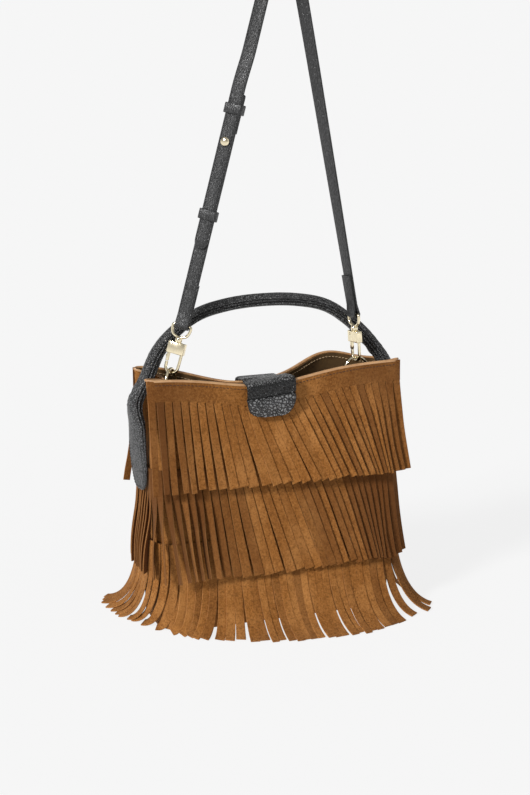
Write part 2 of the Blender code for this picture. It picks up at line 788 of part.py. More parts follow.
def build_straps(legs):
    half = LAYER / 2
    low_left = legs.eyes[0].z + EYE_TAIL + 6
    low_right = legs.eyes[1].z + EYE_TAIL + 6

    # Short strap: eye fold, main run, then a fold at its top with a short tail
    points, normals = eye_fold(legs, 0, -half, half)
    for z in steps(low_left, SHORT_TOP_Z, 12)[1:]:
        points.append(legs.point(0, z, half))
        normals.append(legs.face(0, z))
    face, along = legs.face(0, SHORT_TOP_Z), legs.along(0)
    top = strap_leg(legs.eyes[0], legs.tops[0], SHORT_TOP_Z)
    for turn in steps(0, math.pi, 6)[1:]:
        spoke = face * math.cos(turn) + along * math.sin(turn)
        points.append(top + spoke * half)
        normals.append(spoke)
    for z in steps(SHORT_TOP_Z, SHORT_TAIL_Z, 3)[1:]:
        points.append(legs.point(0, z, -half))
        normals.append(-legs.face(0, z))
    widths = [STRAP_WIDTH] * len(points)
    short = add_object("strap_short", ribbon(points, normals, widths, STRAP_THICK),
                       "leather", Vector((0, PIVOT_Y, PIVOT_Z)))

    # Long strap: free tip on the left, over the peg, down to the right eye
    points, normals, widths = [], [], []
    for i, z in enumerate(steps(STRAP_TIP_Z, SHORT_TOP_Z + 6, 12)):
        points.append(legs.point(0, z, half + LAYER))
        normals.append(legs.face(0, z))
        widths.append(STRAP_WIDTH * (0.45 if i == 0 else 1))
    for z in steps(SHORT_TOP_Z + 14, APEX.z, 10):
        lift = (half + LAYER) * (1 - ease((z - SHORT_TOP_Z - 6) / 34))
        points.append(legs.point(0, z, lift))
        normals.append(legs.face(0, z))
        widths.append(STRAP_WIDTH)
    for turn in steps(0, math.pi, 10)[1:-1]:
        spoke = -legs.across_peg * math.cos(turn) + Vector((0, 0, 1)) * math.sin(turn)
        points.append(APEX + spoke * PEG_R)
        normals.append(spoke)
    for z in steps(APEX.z, low_right, 20):
        points.append(legs.point(1, z, half * ease((APEX.z - z) / 120)))
        normals.append(legs.face(1, z))
    fold_points, fold_normals = eye_fold(legs, 1, -half, half)
    points += list(reversed(fold_points))[1:]
    normals += list(reversed(fold_normals))[1:]
    widths += [STRAP_WIDTH] * (len(points) - len(widths))
    long = add_object("strap_long", ribbon(points, normals, widths, STRAP_THICK),
                      "leather", Vector((0, PIVOT_Y, PIVOT_Z)))

    # Adjusting holes in the long strap, and the stud's hole in the short one
    def hole(step, low, high):
        z = STUD_Z + step * HOLE_PITCH
        centre = strap_leg(legs.eyes[0], legs.tops[0], z)
        return turned(centre, legs.face(0, z), ((low, HOLE_R), (high, HOLE_R)), 8)

    holes = join_data(*(hole(step, -4, 8) for step in HOLE_STEPS))
    combine(long, add_tool("strap_holes", holes, Vector((0, 0, 0))), "DIFFERENCE")
    combine(short, add_tool("stud_hole", hole(0, -1, 3), Vector((0, 0, 0))), "DIFFERENCE")


def keeper(legs, z, low, high):
    """Flat band round the strap layers between two lifts."""
    face, along = legs.face(0, z), legs.along(0)
    width = along.cross(face)
    centre = strap_leg(legs.eyes[0], legs.tops[0], z)
    outline_in = ((STRAP_WIDTH / 2 + GAP, low - GAP), (STRAP_WIDTH / 2 + GAP, high + GAP),
                  (-STRAP_WIDTH / 2 - GAP, high + GAP), (-STRAP_WIDTH / 2 - GAP, low - GAP))
    sections = []
    for x, lift in outline_in:
        out_x = x + math.copysign(KEEPER_WALL, x)
        out_lift = lift + (KEEPER_WALL if lift > (low + high) / 2 else -KEEPER_WALL)
        ring = []
        for wx, wl, dz in ((x, lift, -0.5), (x, lift, 0.5),
                           (out_x, out_lift, 0.5), (out_x, out_lift, -0.5)):
            ring.append(centre + width * wx + face * wl + along * (dz * KEEPER_HEIGHT))
        sections.append(ring)
    return loft(sections, closed=True)


def build_strap_fittings(legs):
    pivot = Vector((0, PIVOT_Y, PIVOT_Z))
    half = STRAP_THICK / 2
    back, middle, front = -LAYER / 2, LAYER / 2, LAYER * 1.5
    fixed = keeper(legs, FIXED_KEEPER_Z, back - half, front + half)
    add_object("fixed_keeper", fixed, "leather", pivot)
    sliding = keeper(legs, SLIDING_KEEPER_Z, middle - half, front + half)
    add_object("sliding_keeper", sliding, "leather",
               strap_leg(legs.eyes[0], legs.tops[0], SLIDING_KEEPER_Z))

    centre = strap_leg(legs.eyes[0], legs.tops[0], STUD_Z)
    face = legs.face(0, STUD_Z)
    rise = front + half + GAP
    dome = [(rise, STUD_NECK_R), (rise, STUD_HEAD_R * 0.8), (rise + 0.8, STUD_HEAD_R),
            (rise + 1.8, STUD_HEAD_R * 0.8), (rise + 2.5, STUD_HEAD_R * 0.35)]
    bore = [(rise + 0.5, 0.9), (middle - half, 0.9), (middle - half, STUD_NECK_R)]
    add_object("strap_stud", turned(centre, face, bore + dome), "gold", pivot)
    low = middle - half - GAP
    screw = ((low - 1, 2.6), (low - 0.6, 3.2), (low, 3.2), (low, 0.6), (rise, 0.6))
    add_object("stud_screw", turned(centre, face, screw), "gold", pivot)


def build_carrying_parts():
    left = hook_frame(LEFT_HOOK_AT, LEFT_HOOK_AXIS, LEFT_TURN)
    right = hook_frame(RIGHT_HOOK_AT, RIGHT_HOOK_AXIS, RIGHT_TURN)
    build_hook("left", left)
    build_hook("right", right)
    left_top = LEFT_HOOK_AT + Vector((0, 0, LEFT_RING_RISE))
    right_top = RIGHT_HOOK_AT + Vector((0, 0, RIGHT_RING_RISE))
    left_facing, right_facing = compass(LEFT_TURN), Vector((0, 1, 0))
    build_ring("left", left_top, left_facing)
    build_ring("right", right_top, right_facing)
    build_ring_loop("left", left_top, left_facing, LEFT_LOOP_END)
    build_ring_loop("right", right_top, right_facing, RIGHT_LOOP_END)
    legs = Legs(left, right)
    build_straps(legs)
    build_strap_fittings(legs)


def main():
    for obj in list(bpy.data.objects):
        bpy.data.objects.remove(obj, do_unlink=True)
    build_body()
    build_handle()
    build_closure()
    build_carrying_parts()


main()
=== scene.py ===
"""Fringed suede bag with a round handle and a clip-on strap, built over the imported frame.

Lengths are in millimetres until a mesh is made. The outline repeats the CAD source's rule.
"""

import bisect
import math
import random

import bmesh
import bpy
from mathutils import Matrix, Vector, noise


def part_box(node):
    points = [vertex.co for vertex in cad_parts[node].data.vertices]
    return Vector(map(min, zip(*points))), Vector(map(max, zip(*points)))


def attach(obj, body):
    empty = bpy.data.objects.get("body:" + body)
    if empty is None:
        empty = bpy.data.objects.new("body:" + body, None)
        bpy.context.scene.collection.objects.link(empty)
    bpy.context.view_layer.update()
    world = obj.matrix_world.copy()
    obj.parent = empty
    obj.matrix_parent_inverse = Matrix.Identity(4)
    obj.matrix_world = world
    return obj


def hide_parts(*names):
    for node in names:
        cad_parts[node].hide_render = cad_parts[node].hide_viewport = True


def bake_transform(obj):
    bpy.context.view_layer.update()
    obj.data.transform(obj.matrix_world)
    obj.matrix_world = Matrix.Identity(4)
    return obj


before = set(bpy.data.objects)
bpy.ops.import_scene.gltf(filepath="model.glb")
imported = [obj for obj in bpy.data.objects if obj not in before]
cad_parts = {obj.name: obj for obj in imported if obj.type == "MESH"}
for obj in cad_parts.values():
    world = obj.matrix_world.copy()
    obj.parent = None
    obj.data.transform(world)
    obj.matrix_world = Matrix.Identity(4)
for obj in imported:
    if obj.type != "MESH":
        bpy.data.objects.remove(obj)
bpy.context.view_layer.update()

MM = 0.001
UP = Vector((0, 0, 1))
GAP = 0.3
random.seed(11)

# Body outline, as in the CAD source
HEIGHT = 233.0
BASE_HALF_WIDTH = 113.0
RIM_HALF_WIDTH = 121.0
BASE_HALF_DEPTH = 42.0
RIM_FRONT_Y = -27.0
RIM_BACK_Y = 22.0
BASE_CORNER = 26.0
RIM_CORNER = 8.0
SUEDE = 1.6
LINING = 1.2
BASE_THICK = 3.0
FOLD_START_Z = 140.0
FOLD_DEPTH = 22.0
FRONT_DIP = 12.0
FRONT_N = 14
SIDE_N = 6
CORNER_N = 4
LOOP_N = 2 * (FRONT_N + SIDE_N) + 4 * CORNER_N
FRONT_LEFT = -2
FRONT_RIGHT = 16
BACK_RIGHT = 26
BACK_LEFT = 44
CLOSURE_X = -8.0

# Fringe
STRIP_THICK = 1.4
STRIP_PITCH = 6.9
YOKE = 18.0
STAND_OFF = 1.4
UPPER_BOTTOM = 133.0
UPPER_BACK_BOTTOM = 122.0
LEFT_FLARE = 0.085
UPPER_FLARE = 9.5
MIDDLE_TOP = 156.0
MIDDLE_BOTTOM = 52.0
MIDDLE_FLARE = 12.0
LOWER_TOP = 84.0

# Strap and hooks, as in the CAD source
PIVOT_Z = 234.0
RING_R = 10.7
RING_WIRE = 1.3
RIGHT_RING_RISE = 3.1
LEFT_RING_RISE = 3.6
LEFT_HOOK_AT = Vector((-94.0, -8.0, PIVOT_Z))
LEFT_HOOK_AXIS = Vector((0.30, 0.05, 1.0))
LEFT_TURN = -38.0
RIGHT_HOOK_AT = Vector((85.0, -8.0, PIVOT_Z - RIGHT_RING_RISE))
RIGHT_HOOK_AXIS = Vector((-0.06, 0.05, 1.0))
RIGHT_TURN = -80.0
HOOK_HALF = 5.9
HOOK_WIRE = 1.4
HOOK_TIP = 9.5
HEAD_LOW = 17.5
HEAD_HIGH = 28.0
GATE_PIVOT = 20.3
EYE_HIGH = 43.7
EYE_WIRE = 1.3
STRAP_WIDTH = 13.0
STITCH_SIDE = 5.2
STRAP_THICK = 2.0
LAYER = STRAP_THICK + GAP
PEG_R = 8.0
APEX = Vector((19.5, 9.2, 618.0))
APEX_TURN = -50.0
STRAP_TIP_Z = 343.0
EYE_TAIL = 36.0
SHORT_TOP_Z = 474.0
SHORT_TAIL_Z = 443.0
FIXED_KEEPER_Z = 463.0
SLIDING_KEEPER_Z = 372.0
KEEPER_HEIGHT = 9.0
KEEPER_HALF_THICK = 0.8
STUD_Z = 435.0
HOLE_PITCH = 30.0


# ---------------------------------------------------------------- small helpers

def mix(a, b, t):
    return a + (b - a) * t


def clamp(t):
    return min(max(t, 0.0), 1.0)


def ease(t):
    t = clamp(t)
    return t * t * (3 - 2 * t)


def hump(x, centre, width):
    return math.exp(-((x - centre) / width) ** 2)


def steps(start, end, count):
    return [mix(start, end, i / count) for i in range(count + 1)]


def smooth_curve(knots, parts):
    """Catmull-Rom points through the knots, parts to a span."""
    points = []
    for i in range(len(knots) - 1):
        a, b = knots[max(i - 1, 0)], knots[i]
        c, d = knots[i + 1], knots[min(i + 2, len(knots) - 1)]
        for j in range(parts):
            t = j / parts
            points.append(b + 0.5 * t * (c - a + t * (2 * a - 5 * b + 4 * c - d
                                                      + t * (3 * (b - c) + d - a))))
    return points + [knots[-1]]


def directions(points, closed=False):
    last = len(points) - 1
    out = []
    for i in range(len(points)):
        before = points[i - 1] if i or closed else points[0]
        after = points[(i + 1) % len(points)] if i < last or closed else points[last]
        out.append((after - before).normalized())
    return out


def compass(degrees):
    turn = math.radians(degrees)
    return Vector((math.cos(turn), math.sin(turn), 0))


# ---------------------------------------------------------------- mesh building

class Shape:
    """Vertices, faces and two values on each vertex: cut edge, also painted shade in seam grooves
    and on the closure; and tone of each strip, also painted shade towards the bag's sides.
    """

    def __init__(self):
        self.verts, self.faces, self.edge, self.tone = [], [], [], []

    def add(self, verts, faces, edge=0.0, tone=0.5):
        start = len(self.verts)
        self.verts += [Vector(v) for v in verts]
        self.faces += [[start + i for i in face] for face in faces]
        self.edge += edge if isinstance(edge, list) else [edge] * len(verts)
        self.tone += tone if isinstance(tone, list) else [tone] * len(verts)

    def loft(self, sections, closed=False, edge=0.0, tone=0.5):
        """Skin over rings of equal size, capped at both ends unless closed."""
        n = len(sections[0])
        verts = [p for section in sections for p in section]
        faces = []
        for r in range(len(sections) if closed else len(sections) - 1):
            a, b = r * n, (r + 1) % len(sections) * n
            for i in range(n):
                j = (i + 1) % n
                faces.append((a + i, a + j, b + j, b + i))
        if not closed:
            faces.append(tuple(reversed(range(n))))
            last = (len(sections) - 1) * n
            faces.append(tuple(range(last, last + n)))
        if isinstance(edge, list) and len(edge) == n:
            edge = edge * len(sections)
        self.add(verts, faces, edge, tone)

    def tube(self, points, radius, closed=False, sides=10):
        """Round wire along points; radius is one number or one for each point."""
        sections = []
        side = None
        for i, (point, along) in enumerate(zip(points, directions(points, closed))):
            if side is None:
                side = along.orthogonal().normalized()
            side = (side - along * side.dot(along)).normalized()
            up = along.cross(side)
            r = radius[i] if isinstance(radius, list) else radius
            sections.append([point + side * (r * math.cos(math.tau * j / sides))
                             + up * (r * math.sin(math.tau * j / sides))
                             for j in range(sides)])
        self.loft(sections, closed)


def add_piece(name, shape, material, body=None, stands_for=(), crisp=40):
    """Object from a shape, riding on its body and standing for its CAD nodes."""
    mesh = bpy.data.meshes.new(name)
    mesh.from_pydata([v * MM for v in shape.verts], [], shape.faces)
    for label in ("edge", "tone"):
        values = mesh.attributes.new(label, "FLOAT", "POINT")
        values.data.foreach_set("value", getattr(shape, label))
    mesh.materials.append(material)
    tidy = bmesh.new()
    tidy.from_mesh(mesh)
    bmesh.ops.recalc_face_normals(tidy, faces=tidy.faces)
    tidy.to_mesh(mesh)
    tidy.free()
    mesh.shade_smooth()
    mesh.set_sharp_from_angle(angle=math.radians(crisp))
    piece = bpy.data.objects.new(name, mesh)
    bpy.context.scene.collection.objects.link(piece)
    if stands_for:
        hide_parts(*stands_for)
    if body:
        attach(piece, body)
    return piece


# Sections as (width side, thickness side): |u| is 1 on the edge and less by the inset
STRIP_SECTION = [(1.0, 0.45), (0.55, 1.0), (-0.55, 1.0), (-1.0, 0.45),
                 (-1.0, -0.45), (-0.55, -1.0), (0.55, -1.0), (1.0, -0.45)]
STRIP_EDGE = [1.0, 0.0, 0.0, 1.0, 1.0, 0.0, 0.0, 1.0]
LEATHER_SECTION = [(1.0, 0.3), (0.8, 0.75), (0.3, 1.0), (-0.3, 1.0), (-0.8, 0.75), (-1.0, 0.3),
                   (-1.0, -0.3), (-0.8, -0.75), (-0.3, -1.0), (0.3, -1.0), (0.8, -0.75),
                   (1.0, -0.3)]


def section_ring(point, across, face, width, thick, section):
    ring = []
    for u, v in section:
        half = width / 2 - (1 - abs(u)) * thick / 2
        ring.append(point + across * math.copysign(half, u) + face * (v * thick / 2))
    return ring


def sweep_band(shape, points, normals, widths, thick, section, edge=0.0):
    """Flat band along points; widths is one number or one for each point."""
    rings = []
    for i, (point, along, normal) in enumerate(zip(points, directions(points), normals)):
        face = (normal - along * normal.dot(along)).normalized()
        across = along.cross(face)
        width = widths[i] if isinstance(widths, list) else widths
        rings.append(section_ring(point, across, face, width, thick, section))
    shape.loft(rings, edge=edge)


def stitches(shape, points, normals, length=2.3, spacing=3.3, radius=0.32):
    """Row of short thread stitches along a line on a surface."""
    walked, ahead = 0.0, spacing * 0.5
    for a, b, normal in zip(points, points[1:], normals):
        span = (b - a).length
        while ahead < walked + span:
            at = a.lerp(b, (ahead - walked) / span)
            along = (b - a) / span
            half = along * (length / 2)
            lift = normal * radius * 0.7
            path = [at - half, at - half * 0.6 + lift, at + half * 0.6 + lift, at + half]
            shape.tube(path, [radius * 0.5, radius, radius, radius * 0.5], sides=6)
            ahead += spacing
        walked += span


# ---------------------------------------------------------------- body outline

def outline_sizes(z):
    t = z / HEIGHT
    half_width = mix(BASE_HALF_WIDTH, RIM_HALF_WIDTH, t)
    front = mix(-BASE_HALF_DEPTH, RIM_FRONT_Y, t)
    back = mix(BASE_HALF_DEPTH, RIM_BACK_Y, t)
    corner = mix(BASE_CORNER, RIM_CORNER, min(max(t, 0), 1.0) ** 0.7)
    return half_width, front, back, corner


def plain_outline(k, z):
    """Point at place k round a rectangle with round corners, from the front left."""
    half_width, front, back, corner = outline_sizes(z)
    west, east = corner - half_width, half_width - corner
    south, north = front + corner, back - corner
    k = k % LOOP_N
    spans = ((FRONT_N, (west, front), (east, front)), (CORNER_N, (east, south), -90),
             (SIDE_N, (half_width, south), (half_width, north)),
             (CORNER_N, (east, north), 0),
             (FRONT_N, (east, back), (west, back)), (CORNER_N, (west, north), 90),
             (SIDE_N, (-half_width, north), (-half_width, south)),
             (CORNER_N, (west, south), 180))
    for count, start, end in spans:
        if k <= count:
            break
        k -= count
    t = k / count
    if isinstance(end, tuple):
        return mix(start[0], end[0], t), mix(start[1], end[1], t)
    turn = math.radians(end + 90 * t)
    return start[0] + corner * math.cos(turn), start[1] + corner * math.sin(turn)


def across_share(k, z):
    front, back = outline_sizes(z)[1:3]
    return (plain_outline(k, z)[1] - front) / (back - front)


def gusset_hump(share):
    return ease((share - 0.1) / 0.38) * ease((0.92 - share) / 0.28)


def outline(k, z):
    x, y = plain_outline(k, z)
    share = across_share(k, z)
    fold = FOLD_DEPTH * ease((z - FOLD_START_Z) / (HEIGHT - FOLD_START_Z))
    x -= math.copysign(fold * gusset_hump(share), x)
    pull = ease((z - 110) / 115) * ease(share * 2 - 1)
    y += pull * (9 * hump(x, 66, 34) - 30 * hump(x, CLOSURE_X - 10, 44))
    belly = math.sin(math.pi * min(z / HEIGHT, 1)) * math.cos(x / HEIGHT * 2.6)
    y += 4 * belly * (2 * share - 1)
    return Vector((x, y, z))


def facing(k, z):
    along = outline(k + 0.05, z) - outline(k - 0.05, z)
    return Vector((along.y, -along.x, 0)).normalized()


def shell_point(k, z, out):
    return outline(k, z) + facing(k, z) * out


def rim_height(k):
    x = plain_outline(k, HEIGHT)[0]
    share = across_share(k, HEIGHT)
    front = HEIGHT - FRONT_DIP * hump(x, -12, 60)
    back = 219 + 15 * ease((-x - 32) / 88) + 12 * hump(x, 70, 30) + 4 * ease((x - 60) / 60)
    return mix(front, back, ease(share)) - 6 * gusset_hump(share)


def panel_point(k, z, out, wide):
    """Point of a fringe layer; on the front and back it runs on flat past the corners."""
    if not wide:
        return shell_point(k, z, out)
    low, high = (0, FRONT_N) if k < 21 else (BACK_RIGHT + 2, BACK_LEFT - 2)
    inside = min(max(k, low), high)
    beyond = (k - inside) / 2
    point = outline(inside, z) + facing(inside, z) * out
    if beyond:
        corner = outline_sizes(z)[3]
        sign = math.copysign(1, point.x)
        point.x += sign * abs(beyond) * (corner + 0.8)
        point.y += abs(beyond) ** 2 * 1.6 * (1 if k < 21 else -1)
    if k < 21:
        point.x -= LEFT_FLARE * (HEIGHT - z) * ease((-45 - point.x) / 75)
    return point


def panel_facing(k, z, wide):
    if not wide:
        return facing(k, z)
    low, high = (0, FRONT_N) if k < 21 else (BACK_RIGHT + 2, BACK_LEFT - 2)
    return facing(min(max(k, low + 0.1), high - 0.1), z)


class Arc:
    """Distance along the outline at one height, and back to a place."""

    def __init__(self, z):
        self.places = steps(-14, LOOP_N + 14, 1400)
        points = [outline(k, z) for k in self.places]
        self.lengths = [0.0]
        for a, b in zip(points, points[1:]):
            self.lengths.append(self.lengths[-1] + (b - a).length)

    def _look(self, x, keys, values):
        i = min(max(bisect.bisect_right(keys, x) - 1, 0), len(keys) - 2)
        return mix(values[i], values[i + 1], (x - keys[i]) / (keys[i + 1] - keys[i]))

    def length(self, k):
        return self._look(k, self.places, self.lengths)

    def place(self, length):
        return self._look(length, self.lengths, self.places)


# ---------------------------------------------------------------- materials

def material(name):
    made = bpy.data.materials.new(name)
    made.use_nodes = True
    tree = made.node_tree
    surface = tree.nodes["Principled BSDF"]

    def node(kind, settings=(), **inputs):
        new = tree.nodes.new("ShaderNode" + kind)
        for key, value in dict(settings).items():
            setattr(new, key, value)
        for key, value in inputs.items():
            socket = new.inputs[int(key[1:])] if key[0] == "i" and key[1:].isdigit() \
                else new.inputs[key.replace("_", " ")]
            if isinstance(value, bpy.types.NodeSocket):
                tree.links.new(value, socket)
            else:
                socket.default_value = value
        return new

    where = node("TexCoord").outputs["Object"]
    return made, surface, node, where


def noise_at(node, where, size, detail=3.0, rough=0.55, stretch=None):
    """Noise whose blotches are about size millimetres wide."""
    if stretch:
        where = node("Mapping", Vector=where, Scale=stretch).outputs["Vector"]
    return node("TexNoise", Vector=where, Scale=1 / (size * MM), Detail=detail,
                Roughness=rough).outputs["Fac"]


def ramp(node, value, low, high, a=0.0, b=1.0):
    return node("MapRange", {"interpolation_type": "SMOOTHSTEP"}, Value=value, i1=low,
                i2=high, i3=a, i4=b).outputs["Result"]


def blend_colour(node, factor, a, b, kind="MIX"):
    mixer = node("Mix", {"data_type": "RGBA", "blend_type": kind, "clamp_factor": True})
    tree = mixer.id_data
    for index, value in ((0, factor), (6, a), (7, b)):
        if isinstance(value, bpy.types.NodeSocket):
            tree.links.new(value, mixer.inputs[index])
        else:
            mixer.inputs[index].default_value = value
    return mixer.outputs[2]


def rgb(r, g, b):
    return (r, g, b, 1.0)


def dress(surface, node, colour, rough, height, strength, distance):
    """Give the surface its colour, its roughness and a bump from height."""
    bump = node("Bump", Strength=strength, Distance=distance, Height=height)
    for name, socket in (("Base Color", colour), ("Roughness", rough),
                         ("Normal", bump.outputs["Normal"])):
        surface.id_data.links.new(socket, surface.inputs[name])


def maths(node, kind, a, b):
    return node("Math", {"operation": kind}, i0=a, i1=b).outputs[0]


def suede_material(name, base, dark, light, cut):
    """Napped suede: brushed blotches, fine grain, lighter cut edges."""
    made, surface, node, where = material(name)
    brushed = noise_at(node, where, 22, 3, 0.6, stretch=(1, 1, 0.55))
    blotch = noise_at(node, where, 5, 3, 0.65)
    grain = noise_at(node, where, 1.8, 3, 0.8)
    colour = blend_colour(node, ramp(node, brushed, 0.4, 0.7, 0, 0.7), base, light)
    colour = blend_colour(node, ramp(node, blotch, 0.48, 0.75, 0, 0.3), colour, dark)
    speck = ramp(node, grain, 0.48, 0.66, 0.0, 0.62)
    colour = blend_colour(node, speck, colour, dark)
    pale = ramp(node, grain, 0.5, 0.34, 0.0, 0.55)
    colour = blend_colour(node, pale, colour, light)
    # tone holds each strip's random tone plus painted shade: the suede is darkened towards the
    # bag's sides and lightened at its centre
    tone = node("Attribute", {"attribute_name": "tone"}).outputs["Fac"]
    colour = blend_colour(node, ramp(node, tone, 0.35, 1.0, 0, 0.85), colour, dark)
    colour = blend_colour(node, ramp(node, tone, 0.4, 0.0, 0, 0.4), colour, light)
    edge = node("Attribute", {"attribute_name": "edge"}).outputs["Fac"]
    colour = blend_colour(node, ramp(node, edge, 0.35, 1.0, 0, 0.3), colour, cut)
    surface.inputs["Specular IOR Level"].default_value = 0.15
    surface.inputs["Sheen Weight"].default_value = 0.12
    surface.inputs["Sheen Roughness"].default_value = 0.45
    surface.inputs["Sheen Tint"].default_value = rgb(0.9, 0.62, 0.36)
    fine = noise_at(node, where, 0.55, 2, 0.6)
    height = maths(node, "ADD", maths(node, "MULTIPLY", grain, 0.7), fine)
    dress(surface, node, colour, ramp(node, grain, 0.3, 0.7, 0.82, 0.98), height, 0.8, 0.7 * MM)
    return made


def leather_material(name, pebble, depth, rough, base, contrast=2.2, stretch=None):
    """Pebbled black leather: rounded cells with creases between them, painted highlights on the
    cells' crowns and painted shade in the creases.
    """
    made, surface, node, where = material(name)
    if stretch:
        where = node("Mapping", Vector=where, Scale=stretch).outputs["Vector"]
    warp = node("TexNoise", Vector=where, Scale=1 / (pebble * 2.2 * MM), Detail=2.0)
    moved = node("VectorMath", {"operation": "SCALE"}, Vector=warp.outputs["Color"],
                 Scale=pebble * 0.9 * MM).outputs["Vector"]
    place = node("VectorMath", {"operation": "ADD"}, i0=where, i1=moved).outputs["Vector"]
    cells = node("TexVoronoi", {"feature": "DISTANCE_TO_EDGE"}, Vector=place,
                 Scale=1 / (pebble * MM)).outputs["Distance"]
    height = ramp(node, cells, 0.03, 0.24)
    fine = noise_at(node, where, pebble * 0.35, 2, 0.6)
    long = noise_at(node, where, 14, 2, 0.5)
    # Painted highlight on each pebble's crown and painted shade in the creases between pebbles
    pebble_highlight_and_shade = blend_colour(node, height, rgb(*[c / contrast ** 2 for c in base]),
                         rgb(*[c * contrast for c in base]))
    colour = blend_colour(node, ramp(node, long, 0.4, 0.7, 0, 0.2), pebble_highlight_and_shade,
                          rgb(*[c * 1.6 for c in base]))
    # Near black where edge is set: edge paint of straps and tabs, and painted shade in the handle's
    # seam grooves and on the closure's smooth band
    edge = node("Attribute", {"attribute_name": "edge"}).outputs["Fac"]
    colour = blend_colour(node, ramp(node, edge, 0.35, 0.9, 0, 0.95), colour,
                          rgb(0.005, 0.005, 0.005))
    surface.inputs["Specular IOR Level"].default_value = 0.5
    total = maths(node, "ADD", height, maths(node, "MULTIPLY", fine, 0.25))
    dress(surface, node, colour, ramp(node, fine, 0.3, 0.7, rough - 0.06, rough + 0.12), total,
          1.0, depth * MM)
    return made


def metal_material(name, base, rough):
    made, surface, node, where = material(name)
    wear = noise_at(node, where, 6, 3, 0.6)
    fine = noise_at(node, where, 0.8, 2, 0.5)
    darker = rgb(*[c * 0.86 for c in base])
    colour = blend_colour(node, ramp(node, wear, 0.4, 0.65), rgb(*base), darker)
    surface.inputs["Metallic"].default_value = 1.0
    dress(surface, node, colour, ramp(node, wear, 0.3, 0.7, rough, rough + 0.08), fine, 0.06,
          0.05 * MM)
    return made


def plain_material(name, base, other, rough, size=0.6, depth=0.1):
    """Smooth goods such as thread, edge paint and the shaded lining, with a small grain."""
    made, surface, node, where = material(name)
    grain = noise_at(node, where, size, 3, 0.6)
    broad = noise_at(node, where, size * 14, 2, 0.6)
    colour = blend_colour(node, ramp(node, broad, 0.35, 0.7, 0, 0.7), rgb(*base), rgb(*other))
    colour = blend_colour(node, ramp(node, grain, 0.45, 0.7, 0, 0.35), colour, rgb(*other))
    dress(surface, node, colour, ramp(node, grain, 0.3, 0.7, rough - 0.06, rough + 0.08), grain,
          0.5, depth * MM)
    return made


SUEDE_MAT = suede_material("suede_brown", rgb(0.262, 0.100, 0.020), rgb(0.085, 0.028, 0.006),
                           rgb(0.42, 0.185, 0.052), rgb(0.50, 0.24, 0.085))
LEATHER_MAT = leather_material("leather_fine", 1.9, 0.9, 0.3, (0.040, 0.040, 0.0405), 3.2)
PEBBLE_MAT = leather_material("leather_pebbled", 2.6, 1.5, 0.28, (0.055, 0.055, 0.0555), 3.6)
STRAP_MAT = leather_material("leather_strap", 1.5, 0.35, 0.4, (0.022, 0.022, 0.0225), 1.5,
                             (1, 1, 0.3))
GOLD_MAT = metal_material("pale_gold", (1.0, 0.88, 0.62), 0.09)
STEEL_MAT = metal_material("steel_satin", (0.62, 0.61, 0.6), 0.3)
# Lining: dark brown, darkened further as painted shade inside the bag
LINING_SHADED_MAT = plain_material("lining_brown_and_shaded", (0.105, 0.055, 0.014), (0.06, 0.030, 0.008), 0.8)
BINDING_MAT = plain_material("edge_paint", (0.50, 0.29, 0.14), (0.36, 0.18, 0.075), 0.38)
DARK_THREAD = plain_material("thread_dark", (0.045, 0.016, 0.006), (0.02, 0.008, 0.004), 0.6)
PALE_THREAD = plain_material("thread_pale", (0.62, 0.45, 0.27), (0.5, 0.33, 0.18), 0.6)
# Black thread, also used for the painted shade of the strap's holes
BLACK_THREAD_AND_HOLE_SHADE = plain_material("thread_black_and_hole_shade", (0.02, 0.02, 0.02), (0.01, 0.01, 0.01), 0.5)


# ---------------------------------------------------------------- body

FINE = 5            # outline samples to one CAD sample
SHELL_ROWS = 46


def loop_places():
    return [i / FINE for i in range(LOOP_N * FINE)]


def ripple(k, z):
    """Soft uneven swelling of the panels."""
    p = outline(k, z)
    return 0.9 * noise.noise(p * 0.021 + Vector((3, 1, 5)))


def body_shell():
    shape = Shape()
    sections = []
    for r in range(SHELL_ROWS + 1):
        t = r / SHELL_ROWS
        sections.append([shell_point(k, mix(0.4, rim_height(k), t),
                                     min(ripple(k, rim_height(k) * t), 0.1))
                         for k in loop_places()])
    for r in range(SHELL_ROWS, -1, -SHELL_ROWS):
        t = r / SHELL_ROWS
        sections.append([shell_point(k, mix(0.4, rim_height(k), t), -SUEDE)
                         for k in loop_places()])
    shape.loft(sections, closed=True)
    return shape


def lining_shape():
    shape = Shape()
    outer, inner = -(SUEDE + GAP), -(SUEDE + LINING + GAP)
    low = BASE_THICK + GAP
    sections = []
    rows = 24

    def row(t, start, out):
        return [shell_point(k, mix(start, rim_height(k) - 0.5, t), out) for k in loop_places()]

    sections.append(row(0, low, outer))
    sections.append(row(1, low, outer))
    for t in steps(1, 0, rows):
        sections.append(row(t, low + LINING, inner))
    shape.loft(sections)
    return shape


def rim_edge():
    """Rounded painted edge over the tops of the panels, fringe and lining."""
    shape = Shape()
    profile = ((1.9, -0.7), (2.0, 0.2), (1.7, 0.8), (1.0, 1.15), (0.0, 1.15), (-0.9, 0.8),
               (-1.4, 0.1), (-1.5, -0.7))
    sections = []
    for k in loop_places():
        side = 1 - ease(abs(((k + 2) % 28) - 9) - 8)
        rise = rim_height(k)
        ring = []
        for out, up in profile:
            out = out if out < 0 else out * mix(0.45, 1.0, side)
            ring.append(shell_point(k, rise + up, out))
        sections.append(ring)
    shape.loft(sections, closed=True)
    return shape


def rim_line(start, end, drop, out):
    places = steps(start, end, int(abs(end - start) * 6))
    points = [shell_point(k, rim_height(k) - drop, out) for k in places]
    sign = 1 if out > 0 else -1
    normals = [facing(k, HEIGHT) * sign for k in places]
    return points, normals


# ---------------------------------------------------------------- fringe

def lean_of(x):
    """How far the tips of the front tiers hang to the right of their tops."""
    return 34 * ease((x + 84) / 104) - 29 * ease((x - 40) / 84)


